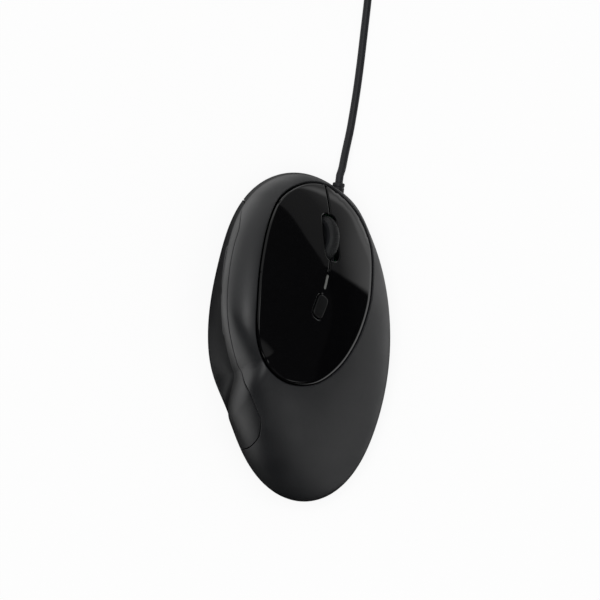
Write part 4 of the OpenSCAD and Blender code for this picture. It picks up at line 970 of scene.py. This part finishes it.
# Tie round the coil: a flat band with round edges
tieSet = dict(at=215, wide=5, thick=0.6, slack=0.35)
innerR = cordSet["outerR"] - cordSet["pitch"] * cordSet["turnsInLayer"] - gauge / 2 - tieSet["slack"]
outerR = cordSet["outerR"] + gauge / 2 + tieSet["slack"]
lowZ = cordSet["lift"] - tieSet["slack"]
highZ = cordSet["lift"] + gauge + (cordSet["layers"] - 1) * cordSet["pitch"] + tieSet["slack"]
bandPath = roundRect((outerR - innerR) / 2 + 0.3, (highZ - lowZ) / 2 + 0.3, 1.3, 10)
radial = np.array((cosd(tieSet["at"]), sind(tieSet["at"]), 0))
sideDir = np.array((-radial[1], radial[0], 0))
tieMid = np.array((*cordSet["middle"], (lowZ + highZ) / 2)) + radial * (innerR + outerR) / 2
sections = []
for k, at in enumerate(bandPath):
    d = unit(bandPath[(k + 1) % len(bandPath)] - bandPath[k - 1])
    section = []
    for w, t in roundRect(tieSet["wide"] / 2, tieSet["thick"] / 2, 0.25, 4):
        x, z = at + t * np.array((d[1], -d[0]))
        section.append(tieMid + radial * x + sideDir * w + (0, 0, z))
    sections.append(section)
tie = swept("coil_tie", sections, tieBand, ring=True)
finishPiece(tie, "housing", "tie_black", "cord_tie")

# Plug: moulded grip with three grooves, and a neck

plugSet = dict(mid=(-33, 170.5), wide=15.4, high=7.8, round=2.4, groove=0.955)
plugAxis = np.array((*plugSet["mid"], plugSet["high"] / 2))

def plugPoint(x, z, s):
    return plugAxis + np.array((x, -s, z))

# Each section's place along the grip and its size
gripStops = [(-10, 0.9), (-9.4, 0.97), (-8.4, 1)]
for at in (-5.2, -3, -0.8):
    gripStops += [(at, 1), (at + 0.4, plugSet["groove"]), (at + 1, plugSet["groove"]), (at + 1.4, 1)]
gripStops += [(8.6, 1), (9.6, 0.975), (10, 0.93)]
gripShape = roundRect(plugSet["wide"] / 2, plugSet["high"] / 2, plugSet["round"], 7)
sections = [[plugPoint(x * k, z * k, s) for x, z in gripShape] for s, k in gripStops]
grip = swept("plug_grip", sections, cordVinyl, sharp=50)
finishPiece(grip, "housing", "cord_black", "plug_body")
neckProfile = [(1.68, -14), (2.4, -14), (2.9, -12.6), (2.9, -10.6), (3.4, -9.9), (1.68, -9.9), (1.68, -14)]
neck = turned("plug_neck", rounded(neckProfile, 0.3), 48, plugAxis, plugDir, cordVinyl)
finishPiece(neck, "housing", "cord_black")
print("collar, tie and plug grip made")

# Every node that stays gets its finish

finishes = (
    (baseBlack, "base_plate"), (hubSatin, "wheel_hub"), (ledAmber, "indicator_led"), (ledRed, "sensor_led"),
    (switchBlack, "dpi_switch scroll_encoder wheel_switch left_switch right_switch side_switches"),
    (stemGrey, "dpi_stem wheel_stem left_plunger right_plunger forward_stem back_stem"),
    (framePlastic, "wheel_carrier inner_frame side_bracket"),
    (boardGreen, "button_board main_board side_board"),
    (chipBlack, "optical_sensor controller_chip"), (lensClear, "sensor_lens"), (sleeveRed, "board_harness"),
    (connectorWhite, "cord_connector plug_tongue"), (cordVinyl, "inner_cord"), (footSlick, "glide_feet"),
    (screwSteel, "base_screws board_screws"), (plugNickel, "plug_shell"),
)
for material, names in finishes:
    for name in names.split():
        for slot in nodes[name].material_slots:
            slot.material = material
print("nodes finished")

# Floor, lights and world

floorMesh = bpy.data.meshes.new("floor")
floorMesh.from_pydata([(-4, -4, 0), (4, -4, 0), (4, 4, 0), (-4, 4, 0)], [], [(0, 1, 2, 3)])
floor = place(bpy.data.objects.new("floor", floorMesh))
# How bright the table is painted for reflections: a painted pool of light close to the right of the body,
# fading out and cut off by a line towards the rear, and white in front and at the left outside a painted
# shadow of the body. Lengths are in metres, nearEdge and shadeEdge in sizes of the body.
poolSet = dict(at=(0.118, 0.036), stretch=(0.55, 1.2), reach=0.1, far=0.16, line=(-0.326, 0.946, 0),
               lineEdge=(-0.0205, -0.0105), left=(1, -0.45, 0), leftEdge=(-0.05, -0.01), leftLevel=0.75,
               rightEdge=(0.03, 0.08), nearEdge=(2.6, 3.5), shade=(-0.012, -0.022), shadeEdge=(1.1, 1.8),
               dark=(0.02, 0.03), seen=0.88)
floorMaterial, tree, spot = newMaterial("pale_paper")
floorMaterial.cycles.emission_sampling = "NONE"
# Distance from the painted bright spot, from the body and from its painted shadow, in units that differ along
# and across
bodySize = (1 / (skinSet["halfW"] * mm), 1 / (skinSet["halfL"] * mm))
rings = []
for middle, size in ((poolSet["at"], poolSet["stretch"]), ((0, 0), bodySize), (poolSet["shade"], bodySize)):
    shift = (-middle[0] * size[0], -middle[1] * size[1], 0)
    drawn = addNode(tree, "Mapping", None, {"Scale": (*size, 0), "Location": shift}, {"Vector": spot})
    rings.append(addNode(tree, "VectorMath", {"operation": "LENGTH"}, None, {0: drawn}).outputs["Value"])
# How far a spot lies over the line, to the left and to the right
sides = []
for aim in (poolSet["line"], poolSet["left"], (1, 0, 0)):
    sides.append(addNode(tree, "VectorMath", {"operation": "DOT_PRODUCT"}, {1: aim},
                         {0: spot}).outputs["Value"])
steps = []
for source, edge, low, high in (
        (sides[0], "lineEdge", poolSet["dark"][0], 1), (sides[1], "leftEdge", poolSet["leftLevel"], 0),
        (sides[2], "rightEdge", 0, 1), (rings[1], "nearEdge", 1, 0),
        (rings[2], "shadeEdge", poolSet["dark"][1], 1)):
    steps.append(addNode(tree, "MapRange", {"interpolation_type": "SMOOTHSTEP"},
                         {1: poolSet[edge][0], 2: poolSet[edge][1], 3: low, 4: high}, {0: source}))
# The last of these steps is a painted shadow of the body on the table, the one before fades the painted pool
# at the right away from the body
ahead, left, rightSide, nearBody, clear = steps
closeBy = addNode(tree, "Math", {"operation": "MULTIPLY"}, None, {0: rightSide, 1: nearBody})
pool = rings[0]
for kind, values, links in (
        ("MULTIPLY", {1: -1 / poolSet["reach"]}, {}), ("EXPONENT", {}, {}),
        ("MAXIMUM", {1: poolSet["far"]}, {}), ("MULTIPLY", {}, {1: ahead}), ("MAXIMUM", {}, {1: left}),
        ("MAXIMUM", {}, {1: closeBy}), ("MULTIPLY", {}, {1: clear})):
    pool = addNode(tree, "Math", {"operation": kind}, values, {0: pool, **links})
# The camera sees white with a little of the paper's shadow, mirrors see the painted pool of light and painted
# shadow, all else sees the paper
path = addNode(tree, "LightPath").outputs
share = addNode(tree, "Math", {"operation": "MULTIPLY"}, {1: poolSet["seen"]}, {0: path["Is Camera Ray"]})
for ray in ("Is Glossy Ray", "Is Transmission Ray"):
    share = addNode(tree, "Math", {"operation": "MAXIMUM"}, None, {0: share, 1: path[ray]})
level = addNode(tree, "Math", {"operation": "MAXIMUM"}, None, {0: pool, 1: path["Is Camera Ray"]})
paper = addNode(tree, "BsdfDiffuse", None, {"Color": linear("#f4f4f4")})
glow = addNode(tree, "Emission", None, {"Color": (1, 1, 1, 1)}, {"Strength": level})
both = addNode(tree, "MixShader", None, None, {0: share, 1: paper, 2: glow})
addNode(tree, "OutputMaterial", None, None, {"Surface": both})
floorMesh.materials.append(floorMaterial)

# The room: white to the camera, in reflections dark with a soft glow at the front left and two behind;
# each glow has its turn and rise, the cosines where it starts and is full, and its level
world = bpy.data.worlds.new("studio")
scene.world = world
world.use_nodes = True
world.cycles.sampling_method = "NONE"
roomSet = dict(glows=((120, 20, 0.42, 0.75, 0.4), (297, 30, 0.88, 0.985, 0.25), (318, 3, 0.945, 0.99, 0.75)),
               dark=0.02, dim=0.3)
tree = world.node_tree
tree.nodes.clear()
path = addNode(tree, "LightPath").outputs
level = addNode(tree, "Math", {"operation": "MULTIPLY"}, {1: roomSet["dark"]}, {0: path["Is Glossy Ray"]})
ray = addNode(tree, "TexCoord").outputs["Generated"]
for turn, rise, start, stop, full in roomSet["glows"]:
    facing = addNode(tree, "VectorMath", {"operation": "DOT_PRODUCT"}, {1: aimed(turn, rise)},
                     {0: ray}).outputs["Value"]
    shown = addNode(tree, "MapRange", {"interpolation_type": "SMOOTHSTEP"},
                    {1: start, 2: stop, 3: 0, 4: full}, {0: facing})
    glow = addNode(tree, "Math", {"operation": "MULTIPLY"}, None, {0: shown, 1: path["Is Glossy Ray"]})
    level = addNode(tree, "Math", {"operation": "MAXIMUM"}, None, {0: level, 1: glow})
soft = addNode(tree, "Math", {"operation": "MULTIPLY"}, {1: roomSet["dim"]}, {0: path["Is Diffuse Ray"]})
for other in (soft, path["Is Camera Ray"], path["Is Transmission Ray"]):
    level = addNode(tree, "Math", {"operation": "MAXIMUM"}, None, {0: level, 1: other})
back = addNode(tree, "Background", None, {"Color": (1, 1, 1, 1)}, {"Strength": level})
addNode(tree, "OutputWorld", None, None, {"Surface": back})

# An area lamp at an angle round the body and over the table, with the brightness its face shows
def softbox(name, turn, rise, away, size, bright, mirrored=True):
    light = bpy.data.lights.new(name, "AREA")
    light.shape = "RECTANGLE"
    light.size, light.size_y = size
    light.energy = math.pi * size[0] * size[1] * bright
    obj = place(bpy.data.objects.new(name, light))
    obj.location = Vector((0, 0, 0.03)) + away * aimed(turn, rise)
    obj.rotation_euler = (-aimed(turn, rise)).to_track_quat("-Z", "Y").to_euler()
    obj.visible_glossy = mirrored

softbox("overhead_left_box", 150, 82, 1.84, (1.8, 1.0), 1.2)
softbox("rear_box", 300, 26, 1.2, (0.9, 0.5), 0.6, False)
softbox("soft_fill", 90, 88, 2.2, (1.6, 1.6), 3.4, False)
scene.view_settings.view_transform = "Standard"
print("stage lit")
